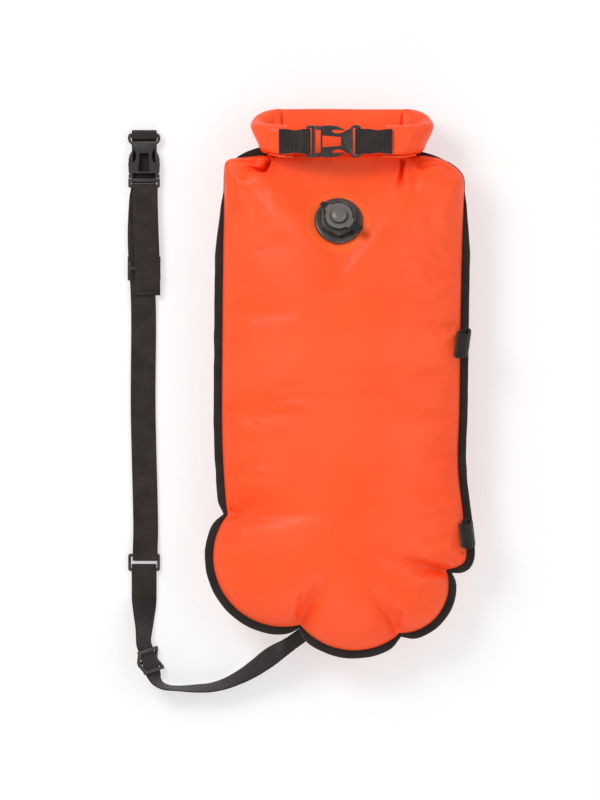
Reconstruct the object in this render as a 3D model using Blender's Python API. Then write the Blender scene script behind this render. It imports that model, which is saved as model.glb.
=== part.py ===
"""Open water swim buoy: an inflated dry bag with a rolled mouth, an air valve, a waist belt and a leash.

The buoy lies on its back. X runs across the bag, Y runs from its foot to its rolled mouth, Z is up.
The origin is on the floor under the middle of the bag. All sizes are in metres.
"""

import math

import bmesh
import bpy
from mathutils import Matrix, Vector
from mathutils.bvhtree import BVHTree

# Clearance between pieces that touch, and how far a cutter runs past what it cuts
GAP = 0.0003
OVERRUN = 0.004

# Bag: two skins and a divider, welded round the edge
BAG_HALF_WIDTH = 0.120
BAG_DOWN = 0.262
SEAM_HEIGHT = 0.046
FRONT_BULGE = 0.049
BACK_BULGE = 0.049
SPINE_UP = 0.110
SPINE_DOWN = 0.150
SKIN = 0.0008
DIVIDER = 0.0006
FLANGE = 0.007
BINDING = 0.0008
BINDING_LAP = 0.006
NECK_BLEND = 0.060
NECK_DIP_FLAT = 0.045
NECK_DIP_END = 0.105
SHOULDER_TOP = 0.205
SHOULDER_FADE = 0.080
SHOULDER_DEPTH = 0.070
SHOULDER_INSIDE = 0.086
SHOULDER_CORNER = 0.020
SHOULDER_SWELL = 0.012
PUCKER_WIDTH = 0.011
PUCKER_LENGTH = 0.045

# Rolled mouth: the bag's mouth wound round a stiffener, then bent into a ring
ROLL_BOTTOM = 0.236
ROLL_BACK_HEIGHT = 0.047
ROLL_FRONT_HEIGHT = 0.033
ROLL_FRONT_DROP = 0.004
ROLL_FLARE_LENGTH = 0.300
ROLL_SHEET = 0.0017
ROLL_PITCH = 0.0026
ROLL_TURNS = 2.5
RING_RADIUS = 0.025
RING_STRAIGHT = 0.112
RING_LOW = 0.032
RING_FRONT_LEFT = 0.002
RING_FRONT_RIGHT = 0.013
STIFFENER = 0.0012
STIFFENER_HEIGHT = 0.014

# Webbing
WEBBING = 0.025
WEBBING_THICK = 0.0013

# Side release buckle, with U from its mouth towards the socket's webbing bar
BUCKLE_HALF = 0.016
SOCKET_LENGTH = 0.040
SOCKET_HALF_THICK = 0.004
SIDE_WALL_LENGTH = 0.0095
SIDE_WALL = 0.0014
LIP = 0.0006
WINDOW_LENGTH = 0.0155
POCKET_HALF_THICK = 0.0023
RIB_OUTSIDE = 0.007
TAPER_START = 0.0018
TAPER_LENGTH = 0.0185
TAPER_MOUTH_HALF = 0.0059
TAPER_END_HALF = 0.0044
STRAP_SLOT_HALF = 0.0132
SOCKET_SLOT_START = 0.0322
SOCKET_SLOT_WIDTH = 0.0034
SOCKET_BAR_HALF_THICK = 0.0018
PLUG_REACH = 0.0145
PLUG_BAR = 0.0030
PLUG_SLOT = 0.0024
PLUG_HALF_THICK = 0.0020
PLUG_CROSSBAR_END = 0.0053
ARM_HALF_THICK = 0.0019
ARM_CLEARANCE = 0.0004
ARM_WIDTH = 0.0028
ARM_REACH = 0.0242
CHAMFER = 0.0006
ROLL_BUCKLE_X = -0.0214
ROLL_BUCKLE_Y = 0.2475
BELT_BUCKLE_Y = 0.2175
BELT_X = -0.1985

# Air valve, on its own axis, with heights above the skin
VALVE_X = -0.0035
VALVE_Y = 0.168
WELD_RADIUS = 0.0325
BARREL_RADIUS = 0.0162
BARREL_WALL = 0.0020
BARREL_DEPTH = 0.0060
COLLAR_RADIUS = 0.0242
COLLAR_THICK = 0.0034
HEX_RADIUS = 0.0190
HEX_HEIGHT = 0.0085
SEAL_SECTION = 0.0005
SEAL_RADIUS = 0.0172
BORE_RADIUS = 0.0064
SEAT_RADIUS = 0.0046
THREAD_PITCH = 0.004
TETHER_RADIUS = 0.0134
TETHER_THICK = 0.0011
TETHER_REACH = 0.0270
PULL_TAB_REACH = 0.0225
TAB_HALF = 0.0040
CAP_FLANGE_RADIUS = 0.0080
CAP_KNOB_RADIUS = 0.0070
CAP_HEIGHT = 0.0065
CAP_SKIRT = 0.0075
FLAP_RADIUS = 0.0080
FLAP_THICK = 0.0008
FLAP_STEM = 0.0009
FLAP_BULB = 0.0016
FLAP_TRAVEL = 0.0015
WEB_HALF = 0.0010
WEB_THICK = 0.0018

# Gear loops on the right seam, and their places up the bag
LOOP_RADIUS = 0.008
LOOP_WIDTH = 0.024
LOOP_UPPER_Y = 0.050
LOOP_LOWER_Y = -0.140

# Belt: strap layers on the floor, adjuster and ring
SLIDER_WIDTH = 0.033
SLIDER_LENGTH = 0.024
SLIDER_BAR = 0.003
SLIDER_THICK = 0.0022
ADJUSTER_Y = 0.122
END_HEM_Y = 0.095
END_LOOP_BREAK_Y = 0.168
HEM_LENGTH = 0.007
BELT_RING_Y = -0.173
RING_WIDTH = 0.032
RING_LENGTH = 0.0176
RING_BAR = 0.0030
RING_THICK = 0.0026
SEWN_LENGTH = 0.024

# Leash: its end at the bag is folded to a narrow tab under the seam's notch
ANCHOR_WIDTH = 0.014
ANCHOR_LENGTH = 0.007
LEASH_SLIDER_POINT = 6
LEASH_STEPS = 3

# The leash's route: x, y, how far its lower edge is off the floor, and its lean in degrees
LEASH_ROUTE = [
    (-0.1985, -0.2073, 0.0016, 0),
    (-0.1985, -0.2200, 0.0010, -25),
    (-0.1987, -0.2340, 0.0020, -42),
    (-0.1989, -0.2450, 0.0046, -52),
    (-0.1986, -0.2543, 0.0052, -54),
    (-0.1968, -0.2600, 0.0052, -54),
    (-0.1932, -0.2715, 0.0052, -54),
    (-0.1896, -0.2830, 0.0052, -54),
    (-0.1866, -0.2903, 0.0050, -57),
    (-0.1812, -0.2956, 0.0040, -64),
    (-0.1740, -0.2983, 0.0024, -70),
    (-0.1655, -0.2992, 0.0010, -74),
    (-0.1560, -0.2995, 0.0005, -73),
    (-0.1450, -0.2993, 0.0005, -72),
    (-0.1310, -0.2983, 0.0005, -70),
    (-0.1160, -0.2942, 0.0008, -65),
    (-0.1015, -0.2873, 0.0030, -58),
    (-0.0880, -0.2790, 0.0085, -50),
    (-0.0770, -0.2710, 0.0150, -44),
    (-0.0665, -0.2640, 0.0230, -36),
    (-0.0585, -0.2586, 0.0335, -20),
    (-0.0520, -0.2540, 0.0419, 0),
]

# Points of the weld line, as shares of the half width and of the length up to the neck or down to the foot
LEFT_SIDE_SHARES = [
    (-0.690, 1.000), (-0.800, 0.993), (-0.880, 0.984), (-0.945, 0.970), (-0.975, 0.945), (-0.981, 0.889),
    (-0.985, 0.800), (-0.992, 0.590), (-1.000, 0.170), (-1.000, -0.190), (-0.963, -0.477),
]
RIGHT_SIDE_SHARES = [
    (0.875, -0.687), (0.960, -0.676), (1.025, -0.655), (1.040, -0.605), (1.010, -0.470), (0.968, -0.282),
    (0.981, -0.057), (0.996, 0.467), (1.012, 0.720), (1.018, 0.840), (1.015, 0.900), (0.975, 0.935),
    (0.900, 0.965), (0.800, 0.988), (0.690, 1.000),
]
FOOT_NOTCH_SHARES = [(-0.963, -0.477), (-0.350, -0.897), (0.483, -0.930), (0.875, -0.687)]
LOBE_BULGE_SHARES = [0.350, 0.210, 0.250]
RING_SHARES = [0.0, 0.045, 0.13, 0.27, 0.46, 0.70, 0.89]
BULGE_POWER_SHARE = 0.60
PUCKER_SHARE = 0.72
NECK_FLANGE_SHARE = 0.12
SWELL_END_SHARE = 0.25
ROLL_DROP_SHARE = 0.60
SIDE_COUNT, LOBE_COUNTS, NECK_COUNT = 13, (8, 7, 6), 5

# A gear loop's section, as shares of its radius, outwards from the weld line and up from the binding
LOOP_SHARES = [
    (0.15, 0.0), (1.00, 0.0), (1.30, 0.14), (1.52, 0.55), (1.55, 1.05), (1.36, 1.58), (0.90, 1.94),
    (0.28, 2.00), (-0.18, 1.72), (-0.36, 1.24), (-0.22, 0.72), (0.10, 0.36), (0.40, 0.20), (0.80, 0.20),
]

# Colours from the photograph: base colour, roughness
ORANGE = ((1.0, 0.13, 0.035, 1.0), 0.45)
WEBBING_BLACK = ((0.030, 0.024, 0.021, 1.0), 0.80)
PLASTIC_BLACK = ((0.045, 0.045, 0.042, 1.0), 0.38)
SOFT_BLACK = ((0.020, 0.020, 0.020, 1.0), 0.55)
CLEAR_WHITE = ((0.80, 0.80, 0.78, 1.0), 0.50)

# Values worked out from the sizes above
NECK_RIM = ROLL_BOTTOM - GAP
ROLL_MIDDLE = ROLL_BOTTOM + ROLL_BACK_HEIGHT / 2
BAG_UP = NECK_RIM - FLANGE * NECK_FLANGE_SHARE
STACK_HALF = DIVIDER / 2 + GAP + SKIN
BINDING_INSIDE = STACK_HALF + GAP
BINDING_OUTSIDE = BINDING_INSIDE + BINDING
ROLL_START = (ROLL_SHEET + STIFFENER) / 2 + GAP - ROLL_PITCH / 4
ROLL_REACH = ROLL_START + ROLL_PITCH * ROLL_TURNS + ROLL_SHEET / 2
ROLL_OUTSIDE = ROLL_START + ROLL_PITCH * (ROLL_TURNS - 0.75) + ROLL_SHEET / 2
ROLL_TOP = RING_LOW + 2 * RING_RADIUS + ROLL_OUTSIDE
LAYER = WEBBING_THICK + GAP
REACH = GAP + WEBBING_THICK / 2
FLOOR_LAYER = WEBBING_THICK / 2
PLUG_FAR_EDGE = PLUG_BAR - PLUG_REACH
SOCKET_FAR_EDGE = SOCKET_SLOT_START + SOCKET_SLOT_WIDTH
ROLL_BUCKLE_Z = ROLL_TOP + REACH + WEBBING_THICK / 2 + GAP + PLUG_HALF_THICK
BELT_BUCKLE_Z = LAYER + SOCKET_HALF_THICK
SLIDER_RISE = SLIDER_THICK / 2 + REACH
ADJUSTER_Z = LAYER + SLIDER_THICK + REACH
COLLAR_TOP = GAP + COLLAR_THICK
HEX_BOTTOM = COLLAR_TOP + 2 * (SEAL_SECTION + GAP)
BODY_TOP = HEX_BOTTOM + HEX_HEIGHT
BODY_BOTTOM = -BARREL_DEPTH + GAP
RING_BAR_Z = WEBBING_THICK + GAP + RING_THICK / 2


def clear_scene():
    for old in list(bpy.data.objects):
        bpy.data.objects.remove(old)


def make_material(name, colour):
    material = bpy.data.materials.new(name)
    material.use_nodes = True
    shader = material.node_tree.nodes["Principled BSDF"]
    shader.inputs["Base Color"].default_value = colour[0]
    shader.inputs["Roughness"].default_value = colour[1]
    return material


def add_object(name, rings, colour, matrix=None, loop=False, sharp=35.0):
    """Make an object from rings of points: walls between rings, and end faces or a closed loop."""
    shape = bmesh.new()
    rows = [[shape.verts.new(point) for point in ring] for ring in rings]
    pairs = list(zip(rows, rows[1:]))
    if loop:
        pairs.append((rows[-1], rows[0]))
    for low, high in pairs:
        for i in range(len(low)):
            j = (i + 1) % len(low)
            shape.faces.new((low[i], low[j], high[j], high[i]))
    if not loop:
        shape.faces.new(rows[0])
        shape.faces.new(rows[-1])
    bmesh.ops.recalc_face_normals(shape, faces=shape.faces)
    return store(name, shape, colour, matrix, sharp)


def store(name, shape, colour, matrix=None, sharp=35.0):
    """Keep a shape as a named object, turned in its mesh and moved by its place."""
    matrix = matrix or Matrix.Identity(4)
    shape.transform(matrix.to_3x3().to_4x4())
    mesh = bpy.data.meshes.new(name)
    shape.to_mesh(mesh)
    shape.free()
    mesh.shade_smooth()
    mesh.set_sharp_from_angle(angle=math.radians(sharp))
    thing = bpy.data.objects.new(name, mesh)
    thing.location = matrix.translation
    bpy.context.collection.objects.link(thing)
    if colour:
        mesh.materials.append(make_material(name, colour))
    return thing


def cut(thing, cutter, operation="DIFFERENCE"):
    cutter.hide_render = True
    cutter.display_type = "WIRE"
    step = thing.modifiers.new(cutter.name, "BOOLEAN")
    step.operation = operation
    step.object = cutter


def as_rings(outline, low, high):
    """Two rings of one flat outline, at two heights."""
    return [[(x, y, low) for x, y in outline], [(x, y, high) for x, y in outline]]


def circle(radius, count, height, turn=0.0):
    turns = [turn + 2 * math.pi * i / count for i in range(count)]
    return [(radius * math.cos(a), radius * math.sin(a), height) for a in turns]


def turned(profile, count):
    """Rings of a turned shape: one ring for each (radius, height) of its profile."""
    return [circle(radius, count, height) for radius, height in profile]


def sides_of(points, closed):
    """The direction square to a flat line at each of its points, lengthened at corners."""
    count = len(points)
    found = []
    for i, point in enumerate(points):
        before = points[(i - 1) % count] if closed or i > 0 else None
        after = points[(i + 1) % count] if closed or i < count - 1 else None
        into = (Vector(point) - Vector(before)).normalized() if before else None
        away = (Vector(after) - Vector(point)).normalized() if after else None
        into = into or away
        away = away or into
        middle = (into + away).normalized()
        square = Vector((middle.y, -middle.x))
        found.append(square / max(math.cos(into.angle(away, 0.0) / 2), 0.5))
    return found


def offset(points, distance, closed=True):
    moved = zip(points, sides_of(points, closed))
    return [(p[0] + side.x * distance, p[1] + side.y * distance) for p, side in moved]


def chamfered_slab(name, outline, half_thick, colour, matrix=None):
    """A flat moulded plate whose edges are broken by a chamfer; the outline runs anticlockwise."""
    small = offset(outline, -CHAMFER)
    rings = [
        [(x, y, -half_thick) for x, y in small],
        [(x, y, CHAMFER - half_thick) for x, y in outline],
        [(x, y, half_thick - CHAMFER) for x, y in outline],
        [(x, y, half_thick) for x, y in small],
    ]
    return add_object(name, rings, colour, matrix)


def ribbon(name, path, place, colour, width=WEBBING, thick=WEBBING_THICK):
    """A flat strap along a path in a plane; place turns (along, up, across) into a point."""
    outer = offset(path, thick / 2, closed=False)
    inner = offset(path, -thick / 2, closed=False)
    rings = []
    for a, b in zip(outer, inner):
        corners = [(a, -width / 2), (b, -width / 2), (b, width / 2), (a, width / 2)]
        rings.append([place(flat[0], flat[1], across) for flat, across in corners])
    return add_object(name, rings, colour)


def smooth(points, steps):
    """Points on a smooth curve through the given ones, with a number of steps between neighbours."""
    found = []
    last = len(points) - 1
    for i in range(last):
        p0, p1 = Vector(points[max(i - 1, 0)]), Vector(points[i])
        p2, p3 = Vector(points[i + 1]), Vector(points[min(i + 2, last)])
        for k in range(steps):
            t = k / steps
            bend = 2 * p0 - 5 * p1 + 4 * p2 - p3
            twist = 3 * p1 - p0 - 3 * p2 + p3
            found.append((2 * p1 + (p2 - p0) * t + bend * t * t + twist * t * t * t) / 2)
    found.append(Vector(points[last]))
    return found


def spread(points, count):
    """A number of points at even distances along a line of points, without its last point."""
    lengths = [0.0]
    for a, b in zip(points, points[1:]):
        lengths.append(lengths[-1] + (b - a).length)
    found = []
    k = 0
    for i in range(count):
        want = lengths[-1] * i / count
        while lengths[k + 1] < want:
            k += 1
        share = (want - lengths[k]) / (lengths[k + 1] - lengths[k])
        found.append(points[k].lerp(points[k + 1], share))
    return found


def blend(share):
    share = min(max(share, 0.0), 1.0)
    return share * share * (3 - 2 * share)


# Bag

def from_share(share):
    x, y = share
    return Vector((x * BAG_HALF_WIDTH, y * (BAG_UP if y > 0 else BAG_DOWN)))


def lobe(start, end, bulge_share):
    """Points of an arc that swells out between two notches of the foot."""
    chord = end - start
    middle = (start + end) / 2
    out = Vector((chord.y, -chord.x)).normalized()
    bulge = bulge_share * chord.length
    radius = (chord.length ** 2 / 4 + bulge ** 2) / (2 * bulge)
    centre = middle + out * (bulge - radius)
    half_turn = math.atan2(chord.length / 2, radius - bulge)
    steps = 24
    found = []
    for i in range(steps + 1):
        turn = half_turn * (2 * i / steps - 1)
        along = chord.normalized() * math.sin(turn) + out * math.cos(turn)
        found.append(centre + along * radius)
    return found


def weld_line():
    """The weld's points, anticlockwise from the middle of the neck, and its notches' indices."""
    left = smooth([from_share(s) for s in LEFT_SIDE_SHARES], 6)
    right = smooth([from_share(s) for s in RIGHT_SIDE_SHARES], 6)
    middle = Vector((0.0, BAG_UP))
    points = spread([middle, left[0]], NECK_COUNT) + spread(left, SIDE_COUNT)
    corners = [from_share(s) for s in FOOT_NOTCH_SHARES]
    notches = []
    for i, count in enumerate(LOBE_COUNTS):
        notches.append(len(points))
        points += spread(lobe(corners[i], corners[i + 1], LOBE_BULGE_SHARES[i]), count)
    notches.append(len(points))
    points += spread(right, SIDE_COUNT + 1) + spread([right[-1], middle], NECK_COUNT)
    return points, notches


def seam_height(point):
    """The seam is level, and dips at the middle of the neck to meet the roll's low side."""
    along_share = blend(1 - (BAG_UP - point.y) / NECK_BLEND)
    across_share = blend((NECK_DIP_END - abs(point.x)) / (NECK_DIP_END - NECK_DIP_FLAT))
    return SEAM_HEIGHT + (RING_LOW - SEAM_HEIGHT) * along_share * across_share


def spine_point(point):
    return Vector((0.0, min(max(point.y, -SPINE_DOWN), SPINE_UP)))


def bulge_at(share):
    """Share of the full bulge at a share of the way from weld to spine."""
    return (1 - (1 - share) ** 2) ** BULGE_POWER_SHARE


def pucker(points, notches, index):
    """How deep the fold at the nearest notch is at a point of the weld."""
    nearest = min((points[index] - points[n]).length for n in notches)
    return PUCKER_SHARE * math.exp(-(nearest / PUCKER_WIDTH) ** 2)


def flange_share(point):
    """The flange is full along the sides and foot, and all but gone from the shoulders to the neck."""
    share = blend((SHOULDER_TOP - point.y) / SHOULDER_FADE)
    return NECK_FLANGE_SHARE + (1 - NECK_FLANGE_SHARE) * share


def swell_at(point, share):
    """How far a shoulder swells out over its seam, at a share of the way from weld to spine."""
    up_share = blend(1 - (BAG_UP - point.y) / SHOULDER_DEPTH)
    out_share = blend((abs(point.x) - SHOULDER_INSIDE) / SHOULDER_CORNER)
    near = min(share / SWELL_END_SHARE, 1)
    return SHOULDER_SWELL * up_share * out_share * 4 * near * (1 - near)


def skin_rings(points, notches, sign, level, bulge):
    """Rings of one skin's outer face: the flange's edge, the weld, then inwards to the spine."""
    sides = sides_of([tuple(p) for p in points], closed=True)
    edge = []
    for point, side in zip(points, sides):
        out = point + side * FLANGE * flange_share(point)
        edge.append((out.x, min(out.y, NECK_RIM), seam_height(point) + sign * level))
    rings = [edge]
    for share in RING_SHARES:
        ring = []
        for i, point in enumerate(points):
            spine = spine_point(point)
            spot = point.lerp(spine, share)
            if bulge:
                spot += sides[i] * swell_at(point, share)
                spot.y = min(spot.y, NECK_RIM)
            fade_share = math.exp(-(point - spot).length / PUCKER_LENGTH)
            fold_share = pucker(points, notches, i) * fade_share * (1 - share)
            rise = bulge * bulge_at(share) * (1 - fold_share)
            base = seam_height(point) * (1 - share) + SEAM_HEIGHT * share
            height = base + sign * (level + rise)
            ring.append((spot.x, spot.y, max(height, 0.0)))
        rings.append(ring)
    return rings


def sheet_object(name, rings, thick, up, colour):
    """A thin sheet: its outer face is a set of rings closed across the spine, thickened inwards."""
    shape = bmesh.new()
    rows = [[shape.verts.new(point) for point in ring] for ring in rings]
    count = len(rows[0])
    faces = []
    for outer, inner in zip(rows, rows[1:]):
        for i in range(count):
            j = (i + 1) % count
            faces.append((outer[i], outer[j], inner[j], inner[i]))
    last = rows[-1]
    neck = NECK_COUNT + 1
    foot = neck + SIDE_COUNT
    faces.append(tuple(last[-neck - 1:] + last[:neck + 1]))
    for i in range(neck, foot):
        faces.append((last[i], last[i + 1], last[count - 2 - i], last[count - 1 - i]))
    faces.append(tuple(last[foot:count - foot]))
    for face in faces:
        shape.faces.new(face if up else face[::-1])
    bmesh.ops.triangulate(shape, faces=shape.faces)
    thing = store(name, shape, colour)
    thicken(thing, thick)
    return thing


def thicken(thing, thick):
    step = thing.modifiers.new("thickness", "SOLIDIFY")
    step.thickness = thick
    step.offset = -1.0
    step.use_even_offset = True


def outline_hit(points, spine, direction):
    """Where a line from the spine meets the weld."""
    for i, a in enumerate(points):
        b = points[(i + 1) % len(points)]
        edge = b - a
        across = direction.x * edge.y - direction.y * edge.x
        if abs(across) < 1e-12:
            continue
        start = a - spine
        along = (start.x * edge.y - start.y * edge.x) / across
        share = (start.x * direction.y - start.y * direction.x) / across
        if along > 0 and 0 <= share <= 1:
            return spine + direction * along
    return spine


def meet_skin(skin, start, toward):
    """Where a line meets the front skin's outer face, and which way the skin faces there."""
    shape = bmesh.new()
    shape.from_mesh(skin.data)
    shape.normal_update()
    spot, facing = BVHTree.FromBMesh(shape).ray_cast(start, toward)[:2]
    shape.free()
    return spot, facing


def make_bag(points, notches):
    front = skin_rings(points, notches, 1, STACK_HALF, FRONT_BULGE)
    back = skin_rings(points, notches, -1, STACK_HALF, BACK_BULGE)
    skin = sheet_object("front_skin", front, SKIN, True, ORANGE)
    sheet_object("back_skin", back, SKIN, False, ORANGE)
    flat = skin_rings(points, notches, 1, DIVIDER / 2, 0.0)
    sheet_object("divider_skin", flat[:4] + flat[-1:], DIVIDER, True, ORANGE)
    return skin


def make_binding(points):
    """A folded ribbon over the flange's raw edge, from the neck round the foot and back to the neck."""
    sides = sides_of([tuple(p) for p in points], closed=True)
    start = NECK_COUNT + 2
    rings = []
    for i in range(start, len(points) - start):
        share = flange_share(points[i])
        near = (FLANGE - BINDING_LAP) * share + 2 * GAP
        inside = FLANGE * share + GAP
        outside = inside + BINDING
        section = [
            (near, BINDING_OUTSIDE), (outside, BINDING_OUTSIDE), (outside, -BINDING_OUTSIDE),
            (near, -BINDING_OUTSIDE), (near, -BINDING_INSIDE), (inside, -BINDING_INSIDE),
            (inside, BINDING_INSIDE), (near, BINDING_INSIDE),
        ]
        height = seam_height(points[i])
        spots = [(points[i] + sides[i] * out, height + up) for out, up in section]
        rings.append([(spot.x, spot.y, z) for spot, z in spots])
    add_object("edge_binding", rings, WEBBING_BLACK)


# Rolled mouth

def spiral(steps=8):
    """Mid line of the rolled sheet, from its core: which end of the roll, and (along, through) there."""
    found = []
    for i in range(int(ROLL_TURNS * steps) + 1):
        turn = 2 * math.pi * i / steps
        radius = ROLL_START + ROLL_PITCH * i / steps
        side = i % steps
        quarter = steps // 4
        ends = [1] if side < quarter or side > 3 * quarter else [-1]
        if side == quarter:
            ends = [1, -1]
        if side == 3 * quarter:
            ends = [-1, 1]
        for end in ends:
            found.append((end, radius * math.cos(turn), radius * math.sin(turn)))
    return found


def ring_path(short=0.0, steps=8):
    """The ring that the roll is bent into: (x, z, inward x, inward z) from its left end to its right."""
    half = RING_STRAIGHT / 2
    centre = RING_LOW + RING_RADIUS
    top = centre + RING_RADIUS
    left = [(-half + RING_FRONT_LEFT - short, top, 0.0, -1.0)]
    for i in range(steps + 1):
        turn = math.pi / 2 + math.pi * i / steps
        cos, sin = math.cos(turn), math.sin(turn)
        left.append((-half + RING_RADIUS * cos, centre + RING_RADIUS * sin, -cos, -sin))
    right = []
    for x, z, a, b in reversed(left[1:]):
        right.append((-x, z, -a, b))
    right.append((half - RING_FRONT_RIGHT + short, top, 0.0, -1.0))
    return left + right


def roll_ends(z):
    """Foot side and far side of the roll at a height of its ring: it leans, and is shorter in front."""
    share = (z - RING_LOW) / (2 * RING_RADIUS)
    drop = ROLL_FRONT_DROP * blend((share - ROLL_DROP_SHARE) / (1 - ROLL_DROP_SHARE))
    back = ROLL_BOTTOM + ROLL_BACK_HEIGHT
    front = ROLL_BOTTOM - ROLL_FRONT_DROP + ROLL_FRONT_HEIGHT
    return ROLL_BOTTOM - drop, back + (front - back) * share


def roll_spot(station, end, along, through):
    """A point of the roll, which flares away from the bag's neck."""
    x, z, in_x, in_z = station
    low, high = roll_ends(z)
    y = (low + high) / 2 + end * ((high - low) / 2 - ROLL_REACH) + along
    flare = 1 + (y - ROLL_MIDDLE) / ROLL_FLARE_LENGTH
    return (x + in_x * through) * flare, y, z + in_z * through


def make_roll():
    shape = bmesh.new()
    rows = []
    for station in ring_path():
        rows.append([shape.verts.new(roll_spot(station, *place)) for place in spiral()])
    for low, high in zip(rows, rows[1:]):
        for i in range(len(low) - 1):
            shape.faces.new((low[i], low[i + 1], high[i + 1], high[i]))
    roll = store("rolled_mouth", shape, ORANGE)
    thicken(roll, ROLL_SHEET)
    roll.modifiers["thickness"].offset = 0.0
    rings = []
    for station in ring_path(short=WEBBING_THICK):
        ring = []
        for v, w in ((-0.5, -0.5), (0.5, -0.5), (0.5, 0.5), (-0.5, 0.5)):
            ring.append(roll_spot(station, 0, v * STIFFENER_HEIGHT, w * STIFFENER))
        rings.append(ring)
    add_object("mouth_stiffener", rings, CLEAR_WHITE)


# Side release buckles

def both_sides(points):
    """A whole outline from its upper half, anticlockwise, mirrored about the buckle's middle line."""
    lower = [(u, -v) for u, v in points]
    return lower + points[::-1]


def socket_outline():
    """Upper half of the socket's edge, from mouth to bar: side wall, deep finger window, waist, ear."""
    wall_end = SIDE_WALL_LENGTH + LIP
    window_shares = [
        (0.0, 1.0), (0.03, 0.72), (0.14, 0.56), (0.36, 0.49), (0.62, 0.51), (0.86, 0.60), (1.0, 0.70),
    ]
    window = [(wall_end + u * WINDOW_LENGTH, v * BUCKLE_HALF) for u, v in window_shares]
    waist_end = wall_end + WINDOW_LENGTH
    ear = SOCKET_LENGTH - waist_end
    ear_shares = [(0.22, 0.78), (0.38, 0.95), (0.58, 1.02), (0.85, 1.0), (1.0, 0.90)]
    ears = [(waist_end + u * ear, v * BUCKLE_HALF) for u, v in ear_shares]
    return [(0.0, BUCKLE_HALF - CHAMFER)] + window + ears


def make_socket(name, matrix):
    socket = chamfered_slab(name, both_sides(socket_outline()), SOCKET_HALF_THICK, PLASTIC_BLACK, matrix)
    wall = BUCKLE_HALF - SIDE_WALL
    past = BUCKLE_HALF + OVERRUN
    pocket_end = SIDE_WALL_LENGTH + WINDOW_LENGTH
    upper = [
        (-OVERRUN, RIB_OUTSIDE), (pocket_end, RIB_OUTSIDE), (pocket_end, past), (SIDE_WALL_LENGTH, past),
        (SIDE_WALL_LENGTH, wall), (-OVERRUN, wall),
    ]
    lower = [(u, -v) for u, v in upper[::-1]]
    for label, outline in (("pocket_a", upper), ("pocket_b", lower)):
        pocket = as_rings(outline, -POCKET_HALF_THICK, POCKET_HALF_THICK)
        cut(socket, add_object(f"{name}.{label}", pocket, None, matrix))
    taper_end = TAPER_START + TAPER_LENGTH
    taper = both_sides([(TAPER_START, TAPER_MOUTH_HALF), (taper_end, TAPER_END_HALF)])
    slot_end = SOCKET_SLOT_START + SOCKET_SLOT_WIDTH
    slot = both_sides([(SOCKET_SLOT_START, STRAP_SLOT_HALF), (slot_end, STRAP_SLOT_HALF)])
    deep = SOCKET_HALF_THICK + OVERRUN
    for label, outline in (("taper", taper), ("slot", slot)):
        cut(socket, add_object(f"{name}.{label}", as_rings(outline, -deep, deep), None, matrix))
    relief_start = SOCKET_SLOT_START + CHAMFER
    relief_half = STRAP_SLOT_HALF - GAP
    relief = both_sides([(relief_start, relief_half), (SOCKET_LENGTH + OVERRUN, relief_half)])
    bar = SOCKET_BAR_HALF_THICK
    for label, low, high in (("over", bar, deep), ("under", -deep, -bar)):
        cut(socket, add_object(f"{name}.{label}", as_rings(relief, low, high), None, matrix))
    return socket


def make_plug(name, matrix):
    """The plug's frame: a webbing bar, a slot and the crossbar that carries both arms."""
    rear = -PLUG_REACH
    half = BUCKLE_HALF
    outline = both_sides([
        (rear, half - 2 * CHAMFER), (rear + 2 * CHAMFER, half), (-PLUG_CROSSBAR_END, half),
    ])
    plug = chamfered_slab(name, outline, PLUG_HALF_THICK, PLASTIC_BLACK, matrix)
    start = rear + PLUG_BAR
    slot = both_sides([(start, STRAP_SLOT_HALF), (start + PLUG_SLOT, STRAP_SLOT_HALF)])
    deep = PLUG_HALF_THICK + OVERRUN
    cut(plug, add_object(f"{name}.slot", as_rings(slot, -deep, deep), None, matrix))
    return plug


def arm_outline():
    """One sprung arm: its root at the crossbar, a shoulder that catches the wall, and a thumb pad."""
    free = BUCKLE_HALF - SIDE_WALL - ARM_CLEARANCE
    barb = BUCKLE_HALF - ARM_CLEARANCE
    root = GAP - PLUG_CROSSBAR_END
    shoulder = SIDE_WALL_LENGTH + GAP
    pad = ARM_REACH - shoulder
    pad_shares = [(0.0, 1.0), (0.30, 1.0), (0.60, 0.93), (0.85, 0.80), (1.0, 0.735)]
    tip_share = pad_shares[-1][1]
    root_end_share = pad_shares[2][0]
    outer = [(root, barb), (-CHAMFER * 2, barb), (-CHAMFER, free), (shoulder, free)]
    outer += [(shoulder + u * pad, v * barb) for u, v in pad_shares]
    inner = [(ARM_REACH, barb * tip_share - CHAMFER)]
    inner += [(shoulder + pad * root_end_share, free - ARM_WIDTH)]
    inner += [(root, free - ARM_WIDTH)]
    return outer[::-1] + inner[::-1]


def make_arms(names, matrix):
    pivot = Vector((-PLUG_CROSSBAR_END, BUCKLE_HALF - SIDE_WALL, 0.0))
    local = [(u - pivot.x, v - pivot.y) for u, v in arm_outline()]
    for name, side in zip(names, (1, -1)):
        outline = [(u, v * side) for u, v in local]
        spot = matrix @ Matrix.Translation((pivot.x, pivot.y * side, 0.0))
        add_object(name, as_rings(outline, -ARM_HALF_THICK, ARM_HALF_THICK), PLASTIC_BLACK, spot)


def around_bar(edge, bar_half, way, level=0.0, steps=4):
    """A strap's mid line round a bar's far edge, from above it to below it; way is its side, 1 or -1."""
    found = []
    for side in (1, -1):
        for i in range(steps + 1):
            turn = (side + 1) / 2 * math.pi / 2 - math.pi / 2 * i / steps
            out = edge + way * REACH * math.cos(turn)
            found.append((out, level + side * bar_half + REACH * math.sin(turn)))
    return found


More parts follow.
